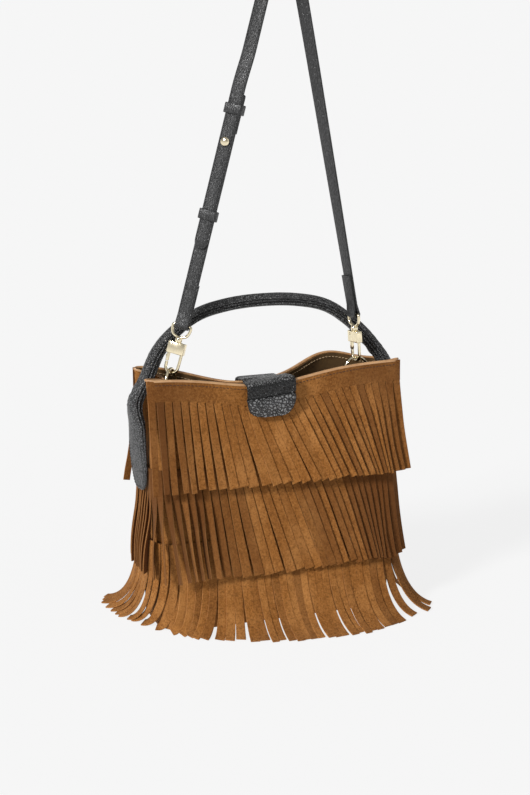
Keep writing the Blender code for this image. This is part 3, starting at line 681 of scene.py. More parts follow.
class Tier:
    """One hanging layer of fringe: a yoke with strips cut below it."""

    def __init__(self, start, end, top_of, slit, bottom, out_of, lean, twist, wide=False):
        self.start, self.end, self.top_of, self.wide = start, end, top_of, wide
        self.slit, self.bottom, self.out_of = slit, bottom, out_of
        self.lean, self.twist = lean, twist
        # The lower tiers start from a darker tone.
        self.tone = 0.36 if bottom > 100 else 0.54
        self.arc = Arc(bottom + 40)

    def slit_z(self, k):
        return self.top_of(k) - self.slit

    def yoke(self, shape):
        places = steps(self.start, self.end, int((self.end - self.start) * 6))
        rows = steps(0, 1, 6)
        half = STRIP_THICK / 2
        rings = []
        for side in (1, -1):
            for t in (rows if side > 0 else reversed(rows)):
                ring = []
                for k in places:
                    z = mix(self.top_of(k), self.slit_z(k) - 0.4, t)
                    out = self.out_of(k, z) + side * half
                    ring.append(panel_point(k, z, out, self.wide))
                rings.append(ring)
        n = len(places)
        verts = [p for ring in rings for p in ring]
        faces = []
        count = len(rings)
        for r in range(count):
            a, b = r * n, (r + 1) % count * n
            faces += [(a + i, a + i + 1, b + i + 1, b + i) for i in range(n - 1)]
        for end in (0, n - 1):
            faces += [(r * n + end, (r + 1) * n + end, (count - 2 - r) * n + end,
                       (count - 1 - r) * n + end) for r in range(count // 2 - 1)]
        shape.add(verts, faces, tone=[self.side_shaded_tone(p.x) for p in verts])

    def side_shaded_tone(self, x):
        """Painted shade: the suede is coloured darker towards the bag's sides."""
        return self.tone + 0.4 * ease(abs(x + 8) / 100)

    def strips(self, shape):
        low, high = self.arc.length(self.start), self.arc.length(self.end)
        count = round((high - low) / STRIP_PITCH)
        pitch = (high - low) / count
        groups = []
        while sum(groups) < count:
            groups.append(random.choice((1, 2, 2, 3, 3, 4, 5)))
        i = 0
        for size in groups:
            centre = low + (i + size / 2) * pitch
            swing = random.gauss(0, 0.9)
            for _ in range(size):
                if i < count:
                    start = low + (i + 0.5) * pitch
                    self.strip(shape, start, centre, swing, pitch)
                i += 1

    def strip(self, shape, start, centre, swing, pitch):
        k0 = self.arc.place(start)
        top = self.slit_z(k0)
        tip = self.bottom + random.gauss(0, 0.7)
        gather = (centre - start) * 0.07
        own_twist, own_out = random.gauss(0, 6), random.uniform(-0.5, 0.5)
        wander = random.uniform(0, 90)
        # Random tone for the strip, about the painted side shade
        tone = clamp(random.gauss(self.side_shaded_tone(outline(k0, 150).x), 0.08))
        step = 0.5
        local = (self.lean(self.arc.place(start + step)) - self.lean(self.arc.place(start - step)))
        local /= 2 * step
        lean = self.lean(k0)
        loose = random.uniform(0.2, 1.5) * ease((-48 - outline(k0, 150).x) / 25)
        points, faces_at, widths = [], [], []
        for t in steps(0, 1, 22):
            z = mix(top, tip, t)
            shift = lean * t + gather * t + swing * t * t
            shift += 0.5 * t * noise.noise(Vector((wander, t * 2.2, 0)))
            k = self.arc.place(start + shift)
            slant = math.atan2(lean, top - tip)
            spacing = (1 + local * t) * math.cos(slant)
            louvre = math.acos(clamp(spacing)) * ease(t * 2.5) * 0.8
            twist = louvre + math.radians(self.twist(k0, t) + own_twist * t)
            out = self.out_of(k, z) + (own_out + 0.6 * math.sin(abs(twist))) * ease(t * 3)
            points.append(panel_point(k, z, out, self.wide))
            faces_at.append((panel_facing(k, z, self.wide), twist))
            widths.append(pitch * (1 + 0.9 * max(local, 0) * t) - 0.4 - (0.4 + loose) * t)
        rings = []
        for point, along, (normal, twist), width in zip(points, directions(points), faces_at,
                                                        widths):
            face = (normal - along * normal.dot(along)).normalized()
            across = along.cross(face)
            turn = Matrix.Rotation(twist, 3, along)
            face, across = turn @ face, turn @ across
            rings.append(section_ring(point, across, face, width, STRIP_THICK, STRIP_SECTION))
        shape.loft(rings, edge=STRIP_EDGE, tone=tone)


# Where the tips of the lowest tier lie: place on the outline, then x and y
TIPS = ((42, -97, 67), (44, -128, 68), (46, -143, 60), (48, -146, 45), (50, -142, 26),
        (52, -137, 10), (54, -128, -4), (55, -120, -20), (56, -107, -38), (57, -96, -54),
        (57.8, -87, -62), (58.6, -72, -70), (60, -46, -81), (61, -26, -90), (63, 2, -97),
        (66, 43, -100), (68, 72, -97), (70, 104, -87), (72, 141, -66), (73, 142, -52),
        (74, 139, -40), (76, 138, -20), (78, 138, 4), (80, 138, 30), (82, 130, 54),
        (84, 97, 68), (91, 0, 69), (98, -97, 67))


def tip_at(k):
    k = (k - 42) % LOOP_N + 42
    keys = [row[0] for row in TIPS]
    i = min(max(bisect.bisect_right(keys, k) - 1, 0), len(keys) - 2)
    t = (k - keys[i]) / (keys[i + 1] - keys[i])
    a, b = TIPS[max(i - 1, 0)], TIPS[i]
    c, d = TIPS[i + 1], TIPS[min(i + 2, len(TIPS) - 1)]
    out = []
    for n in (1, 2):
        out.append(b[n] + 0.5 * t * (c[n] - a[n] + t * (2 * a[n] - 5 * b[n] + 4 * c[n] - d[n]
                                                        + t * (3 * (b[n] - c[n]) + d[n] - a[n]))))
    return Vector((out[0], out[1], 0))


def lower_strips(shape, start, end):
    arc = Arc(60)
    low, high = arc.length(start), arc.length(end)
    count = round((high - low) / STRIP_PITCH)
    pitch = (high - low) / count
    groups = []
    while sum(groups) < count:
        groups.append(random.choice((1, 2, 3, 4, 5)))
    i = 0
    for size in groups:
        centre = low + (i + size / 2) * pitch
        for _ in range(size):
            if i < count:
                lower_strip(shape, arc, low + (i + 0.5) * pitch, centre, pitch)
            i += 1


def lower_strip(shape, arc, start, centre, pitch):
    k = arc.place(start)
    gathered = arc.place(start + (centre - start) * 0.09)
    spread = (tip_at(arc.place(start + 3)) - tip_at(arc.place(start - 3))).length / 6
    fill = 0.8 * min(max(spread - 1, 0), 0.4)
    reach = random.gauss(0, 1.3)
    tip = tip_at(gathered)
    base = shell_point(k, 0, 0)
    away = (tip - base).normalized()
    lie = STRIP_THICK / 2 + 0.1 + random.uniform(0, 0.5)
    tip = tip + away * reach + UP * lie
    far = (tip - base).length
    p0 = shell_point(k, LOWER_TOP, STAND_OFF + 1)
    p1 = shell_point(k, mix(46, 38, clamp(far / 55)), 3.0 + 0.06 * far)
    p2 = base.lerp(tip, 0.46)
    p2.z = 2.4 + 0.06 * far
    points = []
    for t in steps(0, 1, 30):
        s = 1 - t
        point = p0 * s ** 3 + p1 * (3 * s * s * t) + p2 * (3 * s * t * t) + tip * t ** 3
        point.z = max(point.z, lie)
        points.append(point)
    tone = clamp(random.gauss(0.45, 0.15))
    own = math.radians(random.gauss(0, 4))
    rings = []
    for i, (point, along) in enumerate(zip(points, directions(points))):
        width = pitch * (1 + fill * i / len(points)) - 0.2
        down = abs(along.z)
        normal = facing(k, 30) * down + UP * math.sqrt(max(1 - down * down, 0))
        face = (normal - along * normal.dot(along)).normalized()
        across = along.cross(face)
        turn = Matrix.Rotation(own * ease(point.z / 30), 3, along)
        rings.append(section_ring(point, turn @ across, turn @ face, width, STRIP_THICK,
                                  STRIP_SECTION))
    shape.loft(rings, edge=STRIP_EDGE, tone=tone)


def upper_out(k, z):
    t = clamp((rim_height(k) - z) / (rim_height(k) - UPPER_BOTTOM))
    return 1.1 + STAND_OFF * ease(t * 2) + UPPER_FLARE * t * t


def middle_out(_, z):
    t = clamp((MIDDLE_TOP - z) / (MIDDLE_TOP - MIDDLE_BOTTOM))
    return 1.1 + STAND_OFF * ease(t * 2) + MIDDLE_FLARE * t * t


def side_out(_, z):
    return mix(0.9, 3.2, ease((132 - z) / 60)) + 5 * ease((110 - z) / 58)


def front_lean(k):
    return lean_of(outline(k, 150).x) if -3 < k < 17 else 0.0


def small_lean(k):
    return 5 * math.sin(k * 0.7)


def back_lean(k):
    return small_lean(k) + 12 * ease((k - BACK_LEFT + 6) / 5)


def upper_twist(k, t):
    edge_on = ease((0.6 - k) / 2) if k < 8 else 0
    return 6 * ease(t) * math.sin(k * 2.1) + 16 * edge_on * ease(t * 2)


def middle_twist(k, t):
    edge_on = ease((3.4 - k) / 1.8) if k < 8 else 0
    return 68 * edge_on * ease(t * 1.5) + 6 * t * math.sin(k * 1.7)


def side_twist(k, t):
    return (58 + 16 * math.sin(k * 5)) * ease(t * 1.3)


def add_fringe(level, side, shape):
    add_piece(f"fringe_{level}_{side}", shape, SUEDE_MAT, "bag",
              (f"{level}_fringe_{side}",))


def build_tier(level, side, tier):
    shape = Shape()
    tier.yoke(shape)
    tier.strips(shape)
    add_fringe(level, side, shape)


def build_fringe():
    """Upper tier on the front and back only, the two below it on all four sides."""
    sides = {"front": (FRONT_LEFT, FRONT_RIGHT), "right": (FRONT_RIGHT, BACK_RIGHT),
             "back": (BACK_RIGHT, BACK_LEFT), "left": (BACK_LEFT, FRONT_LEFT + LOOP_N)}
    upper = {"front": (UPPER_BOTTOM, front_lean), "back": (UPPER_BACK_BOTTOM, back_lean)}
    twists = {"front": middle_twist, "back": upper_twist}
    for side, (start, end) in sides.items():
        if side in upper:
            bottom, lean = upper[side]
            build_tier("upper", side, Tier(start + 0.3, end - 0.3, lambda k: rim_height(k) + 0.2,
                                           YOKE, bottom, upper_out, lean, upper_twist, True))
        build_tier("middle", side, Tier(start, end, lambda k: MIDDLE_TOP - 4, 6, MIDDLE_BOTTOM,
                                        middle_out if side in upper else side_out,
                                        front_lean if side == "front" else small_lean,
                                        twists.get(side, side_twist)))
        shape = Shape()
        lower_strips(shape, start, end)
        add_fringe("lower", side, shape)


def build_body():
    add_piece("suede_body", body_shell(), SUEDE_MAT, "bag",
              ("front_panel", "back_panel", "left_gusset", "right_gusset"))
    add_piece("bag_lining", lining_shape(), LINING_SHADED_MAT, "bag", ("lining",))
    add_piece("rim_edge", rim_edge(), BINDING_MAT, "bag", ("rim_binding",))
    seams = Shape()
    stitches(seams, *rim_line(FRONT_LEFT + 1.5, FRONT_RIGHT - 1.5, 3.6, 1.75))
    stitches(seams, *rim_line(BACK_RIGHT + 1.5, BACK_LEFT - 1.5, 3.6, 1.75))
    add_piece("rim_stitches", seams, DARK_THREAD, "bag")
    seams = Shape()
    stitches(seams, *rim_line(BACK_RIGHT, BACK_LEFT, 4.0, -3.15))
    add_piece("inner_stitches", seams, PALE_THREAD, "bag")


# ---------------------------------------------------------------- handle

HANDLE_KNOTS = ((1.4, -12, 130.5, 9, 2.6), (1.8, -12, 136, 20, 3.2), (2.2, -10, 150, 27, 3.8),
                (2.2, -6, 168, 28, 6.5), (1.6, -2, 188, 25, 10), (1.6, 1, 207, 18, 14),
                (-8.8, -1, 229, 15, 14), (-21.8, 8.5, 249, 14, 13.5),
                (-38.6, 12, 266, 13, 12), (-61.6, 12, 281, 13, 12), (-90.6, 12, 288, 13, 12))
HANDLE_REACH = 122.6
HANDLE_SIDES = 96
TAB_TURN = math.radians(13)
SEAM_RIDGES = (2.62, 3.1)
SEAM_GROOVES = (2.42, 2.86, 3.3)
TAB_SEAM_TOP = 172.0


def handle_offset(turn, size, thick):
    """Point of the handle's section at an angle, and how much painted shade lies in the seam's
    grooves there.
    """
    flat = mix(0.55, 1.0, thick)
    c, s = math.cos(turn), math.sin(turn)
    ridge = sum(hump(turn, at, 0.08) for at in SEAM_RIDGES)
    groove = sum(hump(turn, at, 0.07) for at in SEAM_GROOVES)
    swell = 1 + thick * (0.10 * ridge - 0.17 * groove)
    x = math.copysign(abs(c) ** flat, c) * size.x / 2 * swell
    y = math.copysign(abs(s) ** flat, s) * size.y / 2 * swell
    return x, y, clamp(groove * thick)


def handle_ring(point, along, size):
    across = Vector((0, 1, 0))
    out = across.cross(along).normalized()
    thick = clamp((size.y - 3) / 6)
    bend = hump(point.z, 222, 26) * thick
    tab_turn = -math.copysign(TAB_TURN, point.x) * (1 - ease((point.z - 185) / 45))
    spin = Matrix.Rotation(tab_turn, 3, "Z")
    ring, dark = [], []
    for i in range(HANDLE_SIDES):
        x, y, shade = handle_offset(math.tau * i / HANDLE_SIDES, size, thick)
        offset = spin @ (across * x + out * y)
        spot = point + offset
        crease = noise.noise(Vector((spot.x * 0.05, spot.y * 0.09, spot.z * 0.24)))
        fine = noise.noise(spot * 0.16)
        ring.append(point + offset * (1 - bend * 0.24 * abs(crease) + 0.012 * fine * thick))
        dark.append(shade)
    return ring, dark


def build_handle():
    """Padded leather handle: tabs on the gussets, wrinkled bends, two raised seams."""
    half = [(x + HANDLE_REACH, y, z, w, t) for x, y, z, w, t in HANDLE_KNOTS]
    knots = [Vector((-x, y, z)) for x, y, z, _, _ in half] + [Vector((0, 12, 290))]
    knots += [Vector((x, y, z)) for x, y, z, _, _ in reversed(half)]
    sizes = [Vector((w, t, 0)) for *_, w, t in half] + [Vector((13, 12, 0))]
    sizes += [Vector((w, t, 0)) for *_, w, t in reversed(half)]
    path, section = smooth_curve(knots, 14), smooth_curve(sizes, 14)
    rings, darks = [], []
    for point, along, size in zip(path, directions(path), section):
        ring, dark = handle_ring(point, along, size)
        rings.append(ring)
        darks += dark
    shape = Shape()
    # darks: painted shade in the seam grooves
    shape.loft(rings, edge=darks)
    piece = add_piece("carrying_handle", shape, LEATHER_MAT, "bag", ("handle",))

    # Stitches follow the tab's outer face a little inside its edge
    front, back = round(HANDLE_SIDES * 0.63), round(HANDLE_SIDES * 0.87)
    seams = Shape()
    for side in (rings, list(reversed(rings))):
        tab = [ring for ring in side[:80] if 132.5 < ring[0].z < TAB_SEAM_TOP]
        line = [ring[front] for ring in reversed(tab)]
        line += [tab[0][i] for i in range(front + 2, back - 1, 2)]
        line += [ring[back] for ring in tab]
        outward = Vector((math.copysign(1, tab[0][0].x), 0, 0))
        stitches(seams, line, [outward] * len(line), 2.0, 2.8, 0.28)
    add_piece("handle_stitches", seams, BLACK_THREAD_AND_HOLE_SHADE, "bag")


# ---------------------------------------------------------------- closure

CLOSURE_THICK = 2.5
CLOSURE_HINGE = Vector((CLOSURE_X, 5.06, 225.43))
CLOSURE_BACK_Z = 221.5
CLOSURE_TIP_Z = 194.6
CREASE_Z = 212.5


def closure_path():
    """Middle line of the closure from its sewn end, over the mouth and down the front."""
    low, high = (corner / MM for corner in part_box("closure_tab"))
    anchor_low, anchor_high = (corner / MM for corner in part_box("closure_anchor"))
    front_y, back_y, bridge_z = low.y + 1.3, anchor_high.y - 1.3, high.z - 2.3
    turn_y = CLOSURE_HINGE.y + 1.2
    rows = [(mix(back_y, turn_y, ease(t)), mix(anchor_low.z, CLOSURE_BACK_Z - 3, t))
            for t in steps(0, 1, 12)]
    rows += [(turn_y - 4.5 * (1 - math.cos(a)), CLOSURE_BACK_Z - 3 + 3 * math.sin(a))
             for a in steps(0, math.pi / 2, 6)[1:]]
    start_y = rows[-1][0]
    rows += [(mix(start_y, front_y + 5.5, t), mix(CLOSURE_BACK_Z, bridge_z, ease(t * 1.15)))
             for t in steps(0, 1, 14)[1:]]
    rows += [(front_y + 5.5 * (1 - math.sin(a)), bridge_z - 5.5 * (1 - math.cos(a)))
             for a in steps(0, math.pi / 2, 8)[1:]]
    rows += [(front_y + 1.9 * hump(z, CREASE_Z, 1.3) - 1.0 * hump(z, 205, 5), z)
             for z in steps(bridge_z - 5.5, CLOSURE_TIP_Z, 40)[1:]]
    return [Vector((CLOSURE_X - 1.5, y, z)) for y, z in rows]


def build_closure():
    """Strap over the mouth: sewn to the back, it ends in a rounded pebbled tab."""
    path = closure_path()
    rings, dark = [], []
    for point, along in zip(path, directions(path)):
        normal = Vector((0, -along.z, along.y))
        on_front = point.y < -20
        width = mix(38, 46, ease((-8 - point.y) / 26))
        if on_front and point.z < 212:
            t = clamp((212 - point.z) / (212 - CLOSURE_TIP_Z))
            width *= mix(0.42, 1.0, (1 - t ** 2.4) ** (1 / 2.1))
        smooth_band = ease((point.z - CREASE_Z + 1) / 2) * ease((225.5 - point.z) / 2)
        shade = 0.85 * smooth_band if on_front else 0.2
        upper, lower = [], []
        for x in steps(-1, 1, 20):
            rounded = math.sqrt(max(1 - abs(x) ** 12, 0))
            half = CLOSURE_THICK / 2 * mix(0.25, 1, rounded)
            tilt = UP * (0.09 * x * width / 2 * ease((point.z - 194) / 12)) * on_front
            side = point + Vector((x * width / 2, 0, 0)) + tilt
            upper.append(side + normal * half)
            lower.append(side - normal * half)
            dark.append(max(shade, 0.9 * ease((abs(x) - 0.86) / 0.1)))
        rings.append(upper + list(reversed(lower)))
        dark += list(reversed(dark[-21:]))
    shape = Shape()
    shape.loft(rings, edge=dark)
    piece = add_piece("closure_strap", shape, PEBBLE_MAT, None,
                      ("closure_anchor", "closure_tab"))
    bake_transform(piece)

    # Stitches lie on the tab's face, a little inside its edge
    tab = [ring for ring, point in zip(rings, path) if point.y < -20 and point.z < 223]
    line = [ring[1] for ring in tab[:-2]]
    line += [tab[-3][i] for i in range(2, 19)]
    line += [ring[19] for ring in reversed(tab[:-2])]
    seams = Shape()
    stitches(seams, line, [Vector((0, -1, 0))] * len(line), 1.8, 2.5, 0.22)
    add_piece("closure_stitches", seams, BLACK_THREAD_AND_HOLE_SHADE, "closure")


# ---------------------------------------------------------------- rings, hooks, strap

def hook_frame(origin, axis, turn):
    length = axis.normalized()
    width = compass(turn)
    width = (width - length * width.dot(length)).normalized()
    thick = length.cross(width)
    rotation = Matrix((width, thick, length)).transposed().to_4x4()
    return Matrix.Translation(origin) @ rotation


def rounded_block(low, high, radius, segments=4):
    solid = bmesh.new()
    bmesh.ops.create_cube(solid, size=1)
    size, middle = Vector(high) - Vector(low), (Vector(high) + Vector(low)) / 2
    for v in solid.verts:
        v.co = Vector((v.co.x * size.x, v.co.y * size.y, v.co.z * size.z)) + middle
    bmesh.ops.bevel(solid, geom=list(solid.edges), offset=radius, segments=segments,
                    affect="EDGES", profile=0.5)
    verts = [v.co.copy() for v in solid.verts]
    solid.verts.index_update()
    faces = [[v.index for v in f.verts] for f in solid.faces]
    solid.free()
    return verts, faces


def put(shape, frame_at, verts, faces):
    shape.add([frame_at @ v for v in verts], faces)


def disc_stack(profile, sides=20):
    """Turned solid about the third axis from (height, radius) rows."""
    verts, faces = [], []
    for h, r in profile:
        verts += [compass(360 * i / sides) * r + UP * h for i in range(sides)]
    for row in range(len(profile) - 1):
        for i in range(sides):
            j = (i + 1) % sides
            faces.append((row * sides + i, row * sides + j, (row + 1) * sides + j,
                          (row + 1) * sides + i))
    faces.append(tuple(reversed(range(sides))))
    faces.append(tuple(range((len(profile) - 1) * sides, len(profile) * sides)))
    return verts, faces


def build_hook(side, at):
    shape = Shape()
    put(shape, at, *rounded_block((-8, -2.9, HEAD_LOW), (8, 2.9, HEAD_HIGH), 0.55, 3))
    bar = [Vector((HOOK_HALF + 0.3, 0, HEAD_LOW + 2)), Vector((HOOK_HALF + 0.2, 0, 12)),
           Vector((HOOK_HALF, 0, HOOK_HALF + 0.6))]
    bar += [Vector((HOOK_HALF * math.cos(t), 0, HOOK_HALF * (1 - math.sin(t))))
            for t in steps(0, math.pi, 16)[1:]]
    bar.append(Vector((-HOOK_HALF, 0, HOOK_TIP)))
    shape.tube([at @ p for p in smooth_curve(bar, 2)], HOOK_WIRE, sides=14)
    # Screw dot on the plate's face, and a shoulder under the swivel
    dot = Matrix.Translation((-4.6, -2.9, 25.2)) @ Matrix.Rotation(math.pi / 2, 4, "X")
    put(shape, at @ dot, *disc_stack(((-0.3, 1.15), (0.28, 1.15), (0.42, 0.9)), 16))
    put(shape, at, *disc_stack(((27.6, 4.3), (28.1, 4.3), (28.28, 3.9)), 20))
    add_piece(f"{side}_hook_body", shape, GOLD_MAT, f"{side}_hook",
              (f"{side}_hook",), crisp=50)

    gate = Shape()
    put(gate, at, *rounded_block((-HOOK_HALF - 1.3, -1.45, HOOK_TIP + 0.5),
                                 (-HOOK_HALF + 1.3, 1.45, GATE_PIVOT + 2), 0.55, 3))
    put(gate, at, *rounded_block((-HOOK_HALF - 2.2, -0.9, 13.2),
                                 (-HOOK_HALF - 0.9, 0.9, 15.4), 0.4, 3))
    add_piece(f"{side}_gate_lever", gate, GOLD_MAT, f"{side}_gate",
              (f"{side}_hook_gate",), crisp=50)

    eye = Shape()
    put(eye, at, *disc_stack(((23.2, 1.45), (28.3, 1.45), (28.32, 2.9), (29.4, 3.2), (31.2, 3.2),
                              (32.6, 2.6), (33.4, 2.0)), 20))
    loop = [(2.2, 32.9), (5.6, 34.2), (7.6, 36.6), (8.5, 39.6), (8.6, 42.3), (7.4, 43.6),
            (4, 43.7), (0, 43.7), (-4, 43.7), (-7.4, 43.6), (-8.6, 42.3), (-8.5, 39.6),
            (-7.6, 36.6), (-5.6, 34.2), (-2.2, 32.9)]
    knots = [Vector((x, 0, z)) for x, z in loop]
    line = smooth_curve(knots + [Vector((0, 0, 32.5)), knots[0]], 4)[:-1]
    eye.tube([at @ p for p in line], EYE_WIRE, closed=True, sides=14)
    add_piece(f"{side}_eye", eye, GOLD_MAT, "shoulder_strap",
              (f"{side}_swivel_eye",), crisp=50)


def build_ring(side, top, axis):
    centre = top - UP * RING_R
    sideways = axis.cross(UP)
    path = [centre + RING_R * (sideways * math.cos(t) + UP * math.sin(t))
            for t in steps(0, math.tau, 72)[:-1]]
    shape = Shape()
    shape.tube(path, RING_WIRE, closed=True, sides=16)
    add_piece(f"{side}_round_ring", shape, GOLD_MAT, f"{side}_ring",
              (f"{side}_ring",))


def build_ring_loop(side, top, axis, wall):
    wire = top - UP * (2 * RING_R)
    turn_r = RING_WIRE + 0.9 + 0.6
    inner = 0.9
    long = wall - wire
    end_face = Vector((math.copysign(1, -wall.x), 0, 0))
    start = axis if axis.dot(end_face) >= 0 else -axis

    def face(t):
        return start.lerp(end_face, ease((t - 0.15) / 0.85)).normalized()

    points, normals = [], []
    depths = steps(0.18, 1, 14)
    for t in reversed(depths):
        points.append(wire + long * t + face(t) * inner)
        normals.append(face(t))
    for turn in steps(0, math.pi, 16):
        spoke = face(0) * math.cos(turn) + UP * math.sin(turn)
        points.append(wire + spoke * turn_r)
        normals.append(spoke)
    for t in depths:
        points.append(wire + long * t - face(t) * inner)
        normals.append(-face(t))
    shape = Shape()
    sweep_band(shape, points, normals, 7.0, 1.2, LEATHER_SECTION)
    add_piece(f"{side}_loop_strip", shape, STRAP_MAT, "bag",
              (f"{side}_ring_loop",))


class Legs:
    """The two strap legs, from their eyes to the peg."""

    def __init__(self, left, right):
        self.eyes = (left @ Vector((0, 0, EYE_HIGH)), right @ Vector((0, 0, EYE_HIGH)))
        self.across_peg = compass(APEX_TURN + 90)
        self.tops = (APEX - self.across_peg * PEG_R, APEX + self.across_peg * PEG_R)

    def along(self, leg):
        return (self.tops[leg] - self.eyes[leg]).normalized()

    def middle(self, leg, z):
        eye, top = self.eyes[leg], self.tops[leg]
        return eye.lerp(top, (z - eye.z) / (top.z - eye.z))

    def turn(self, leg, z):
        share = (z - self.eyes[leg].z) / (APEX.z - self.eyes[leg].z)
        start, twist = ((LEFT_TURN, ease(share * 1.6 - 0.6)), (RIGHT_TURN, share))[leg]
        return mix(start, APEX_TURN, twist)

    def face(self, leg, z):
        face = self.along(leg).cross(compass(self.turn(leg, z))).normalized()
        return face if leg else -face

    def point(self, leg, z, lift):
        return self.middle(leg, z) + self.face(leg, z) * lift


def eye_fold(legs, leg, tail_lift, main_lift):
    eye = legs.eyes[leg]
    radius = EYE_WIRE + 0.35 + STRAP_THICK / 2
    points, normals = [], []
    for z in steps(eye.z + EYE_TAIL, eye.z + 9, 8):
        points.append(legs.point(leg, z, tail_lift))
        normals.append(-legs.face(leg, z))
    face, along = legs.face(leg, eye.z), legs.along(leg)
    for turn in steps(-math.radians(20), math.pi + math.radians(20), 20):
        spoke = -face * math.cos(turn) - along * math.sin(turn)
        points.append(eye + spoke * radius)
        normals.append(spoke)
    for z in steps(eye.z + 9, eye.z + EYE_TAIL + 6, 8):
        points.append(legs.point(leg, z, main_lift))
        normals.append(legs.face(leg, z))
    return points, normals


def long_lift(z):
    """The long strap lies over the short one, and joins the leg's middle above its end."""
    return (LAYER / 2 + LAYER) * (1 - ease((z - SHORT_TOP_Z - 6) / 34))


def strap_paths(legs):
    half = LAYER / 2
    points, normals = eye_fold(legs, 0, -half, half)
    for z in steps(legs.eyes[0].z + EYE_TAIL + 6, SHORT_TOP_Z, 40)[1:]:
        points.append(legs.point(0, z, half))
        normals.append(legs.face(0, z))
    face, along = legs.face(0, SHORT_TOP_Z), legs.along(0)
    top = legs.middle(0, SHORT_TOP_Z)
    for turn in steps(0, math.pi, 10)[1:]:
        spoke = face * math.cos(turn) + along * math.sin(turn)
        points.append(top + spoke * half)
        normals.append(spoke)
    for z in steps(SHORT_TOP_Z, SHORT_TAIL_Z, 8)[1:]:
        points.append(legs.point(0, z, -half))
        normals.append(-legs.face(0, z))
    short = (points, normals, [STRAP_WIDTH] * len(points))

    points, normals, widths = [], [], []
    tip_rows = [(0, 0.35), (0.8, 0.58), (2, 0.76), (3.8, 0.9), (6, 0.98)]
    for z in [STRAP_TIP_Z + dz for dz, _ in tip_rows] + steps(STRAP_TIP_Z + 9, SHORT_TOP_Z + 6, 40):
        points.append(legs.point(0, z, long_lift(z)))
        normals.append(legs.face(0, z))
        widths.append(STRAP_WIDTH)
    for i, (_, share) in enumerate(tip_rows):
        widths[i] *= share
    for z in steps(SHORT_TOP_Z + 10, APEX.z, 28):
        points.append(legs.point(0, z, long_lift(z)))
        normals.append(legs.face(0, z))
    for turn in steps(0, math.pi, 20)[1:-1]:
        spoke = -legs.across_peg * math.cos(turn) + UP * math.sin(turn)
        points.append(APEX + spoke * PEG_R)
        normals.append(spoke)
    for z in steps(APEX.z, legs.eyes[1].z + EYE_TAIL + 6, 60):
        points.append(legs.point(1, z, half * ease((APEX.z - z) / 120)))
        normals.append(legs.face(1, z))
    fold_points, fold_normals = eye_fold(legs, 1, -half, half)
    points += list(reversed(fold_points))[1:]
    normals += list(reversed(fold_normals))[1:]
    widths += [STRAP_WIDTH] * (len(points) - len(widths))
    return short, (points, normals, widths)


STRAP_EDGE = [1, 0.6, 0, 0, 0.6, 1, 1, 0.6, 0, 0, 0.6, 1]


def leg_line(legs, leg, low, high, side, lift):
    points, normals = [], []
    for z in steps(low, high, max(int((high - low) / 4), 2)):
        face = legs.face(leg, z)
        across = legs.along(leg).cross(face)
        points.append(legs.point(leg, z, lift) + across * side)
        normals.append(face if lift > 0 else -face)
    return points, normals


def leg_frame(legs, z, lift):
    face, along = legs.face(0, z), legs.along(0)
    turn = Matrix((along.cross(face), along, face)).transposed().to_4x4()
    return Matrix.Translation(legs.point(0, z, lift)) @ turn


def strap_stitches(legs):
    """Stitch lines along both edges, and a box above each eye."""
    thread = Shape()
    outer = LAYER / 2 + STRAP_THICK / 2 + 0.02
    top = APEX.z - 12
    edges = (-STITCH_SIDE, STITCH_SIDE)
    size = (2.0, 2.9, 0.24)
    for leg, low, high in ((0, 286, 338), (1, 284, top)):
        for side in edges:
            stitches(thread, *leg_line(legs, leg, low, high, side, outer), *size)
    for side in edges:
        stitches(thread, *leg_line(legs, 0, STRAP_TIP_Z + 6, SHORT_TOP_Z + 4, side,
                                   outer + LAYER), *size)
        stitches(thread, *leg_line(legs, 0, SHORT_TOP_Z + 44, top, side,
                                   STRAP_THICK / 2 + 0.02), *size)
    for leg in (0, 1):
        for z in (legs.eyes[leg].z + 10, legs.eyes[leg].z + 32):
            across = legs.along(leg).cross(legs.face(leg, z)) * STITCH_SIDE
            centre = legs.point(leg, z, outer)
            stitches(thread, [centre - across, centre + across], [legs.face(leg, z)] * 2,
                     2.0, 2.6, 0.24)
    return thread


def strap_holes(legs):
    """Painted shade: dark rims and floors stand for the punched holes that no keeper hides."""
    holes = Shape()
    for step in (-2, -1, 1, 2, 3, 4):
        z = STUD_Z + step * HOLE_PITCH
        if abs(z - FIXED_KEEPER_Z) < 8 or abs(z - SLIDING_KEEPER_Z) < 8:
            continue
        at = leg_frame(legs, z, long_lift(z) + STRAP_THICK / 2 - 0.1)
        rim = [at @ Vector((1.5 * math.cos(t), 1.5 * math.sin(t), 0.1))
               for t in steps(0, math.tau, 24)[:-1]]
        holes.tube(rim, 0.28, closed=True, sides=8)
        put(holes, at, *disc_stack(((-0.4, 1.45), (0.12, 1.45)), 16))
    return holes


def round_stud(legs):
    rise = LAYER * 1.5 + STRAP_THICK / 2 + GAP
    head = ((0.0, 1.45), (0.05, 3.0), (0.5, 3.8), (1.1, 4.0), (1.7, 3.7), (2.2, 2.9),
            (2.5, 1.6), (2.6, 0.4))
    stud = Shape()
    put(stud, leg_frame(legs, STUD_Z, 0),
        *disc_stack([(LAYER / 2 - 1, 1.45)] + [(rise + h, r) for h, r in head], 28))
    return stud


def build_strap(legs):
    short, long = strap_paths(legs)
    for name, path, node in (("strap_buckle_end", short, "strap_short"),
                             ("strap_main", long, "strap_long")):
        shape = Shape()
        sweep_band(shape, *path, STRAP_THICK, LEATHER_SECTION, edge=STRAP_EDGE)
        add_piece(name, shape, STRAP_MAT, "shoulder_strap", (node,))
    add_piece("strap_stitches", strap_stitches(legs), BLACK_THREAD_AND_HOLE_SHADE, "shoulder_strap")
    add_piece("strap_hole_shade", strap_holes(legs), BLACK_THREAD_AND_HOLE_SHADE, "shoulder_strap")
    add_piece("round_stud", round_stud(legs), GOLD_MAT, "shoulder_strap",
              ("strap_stud",))


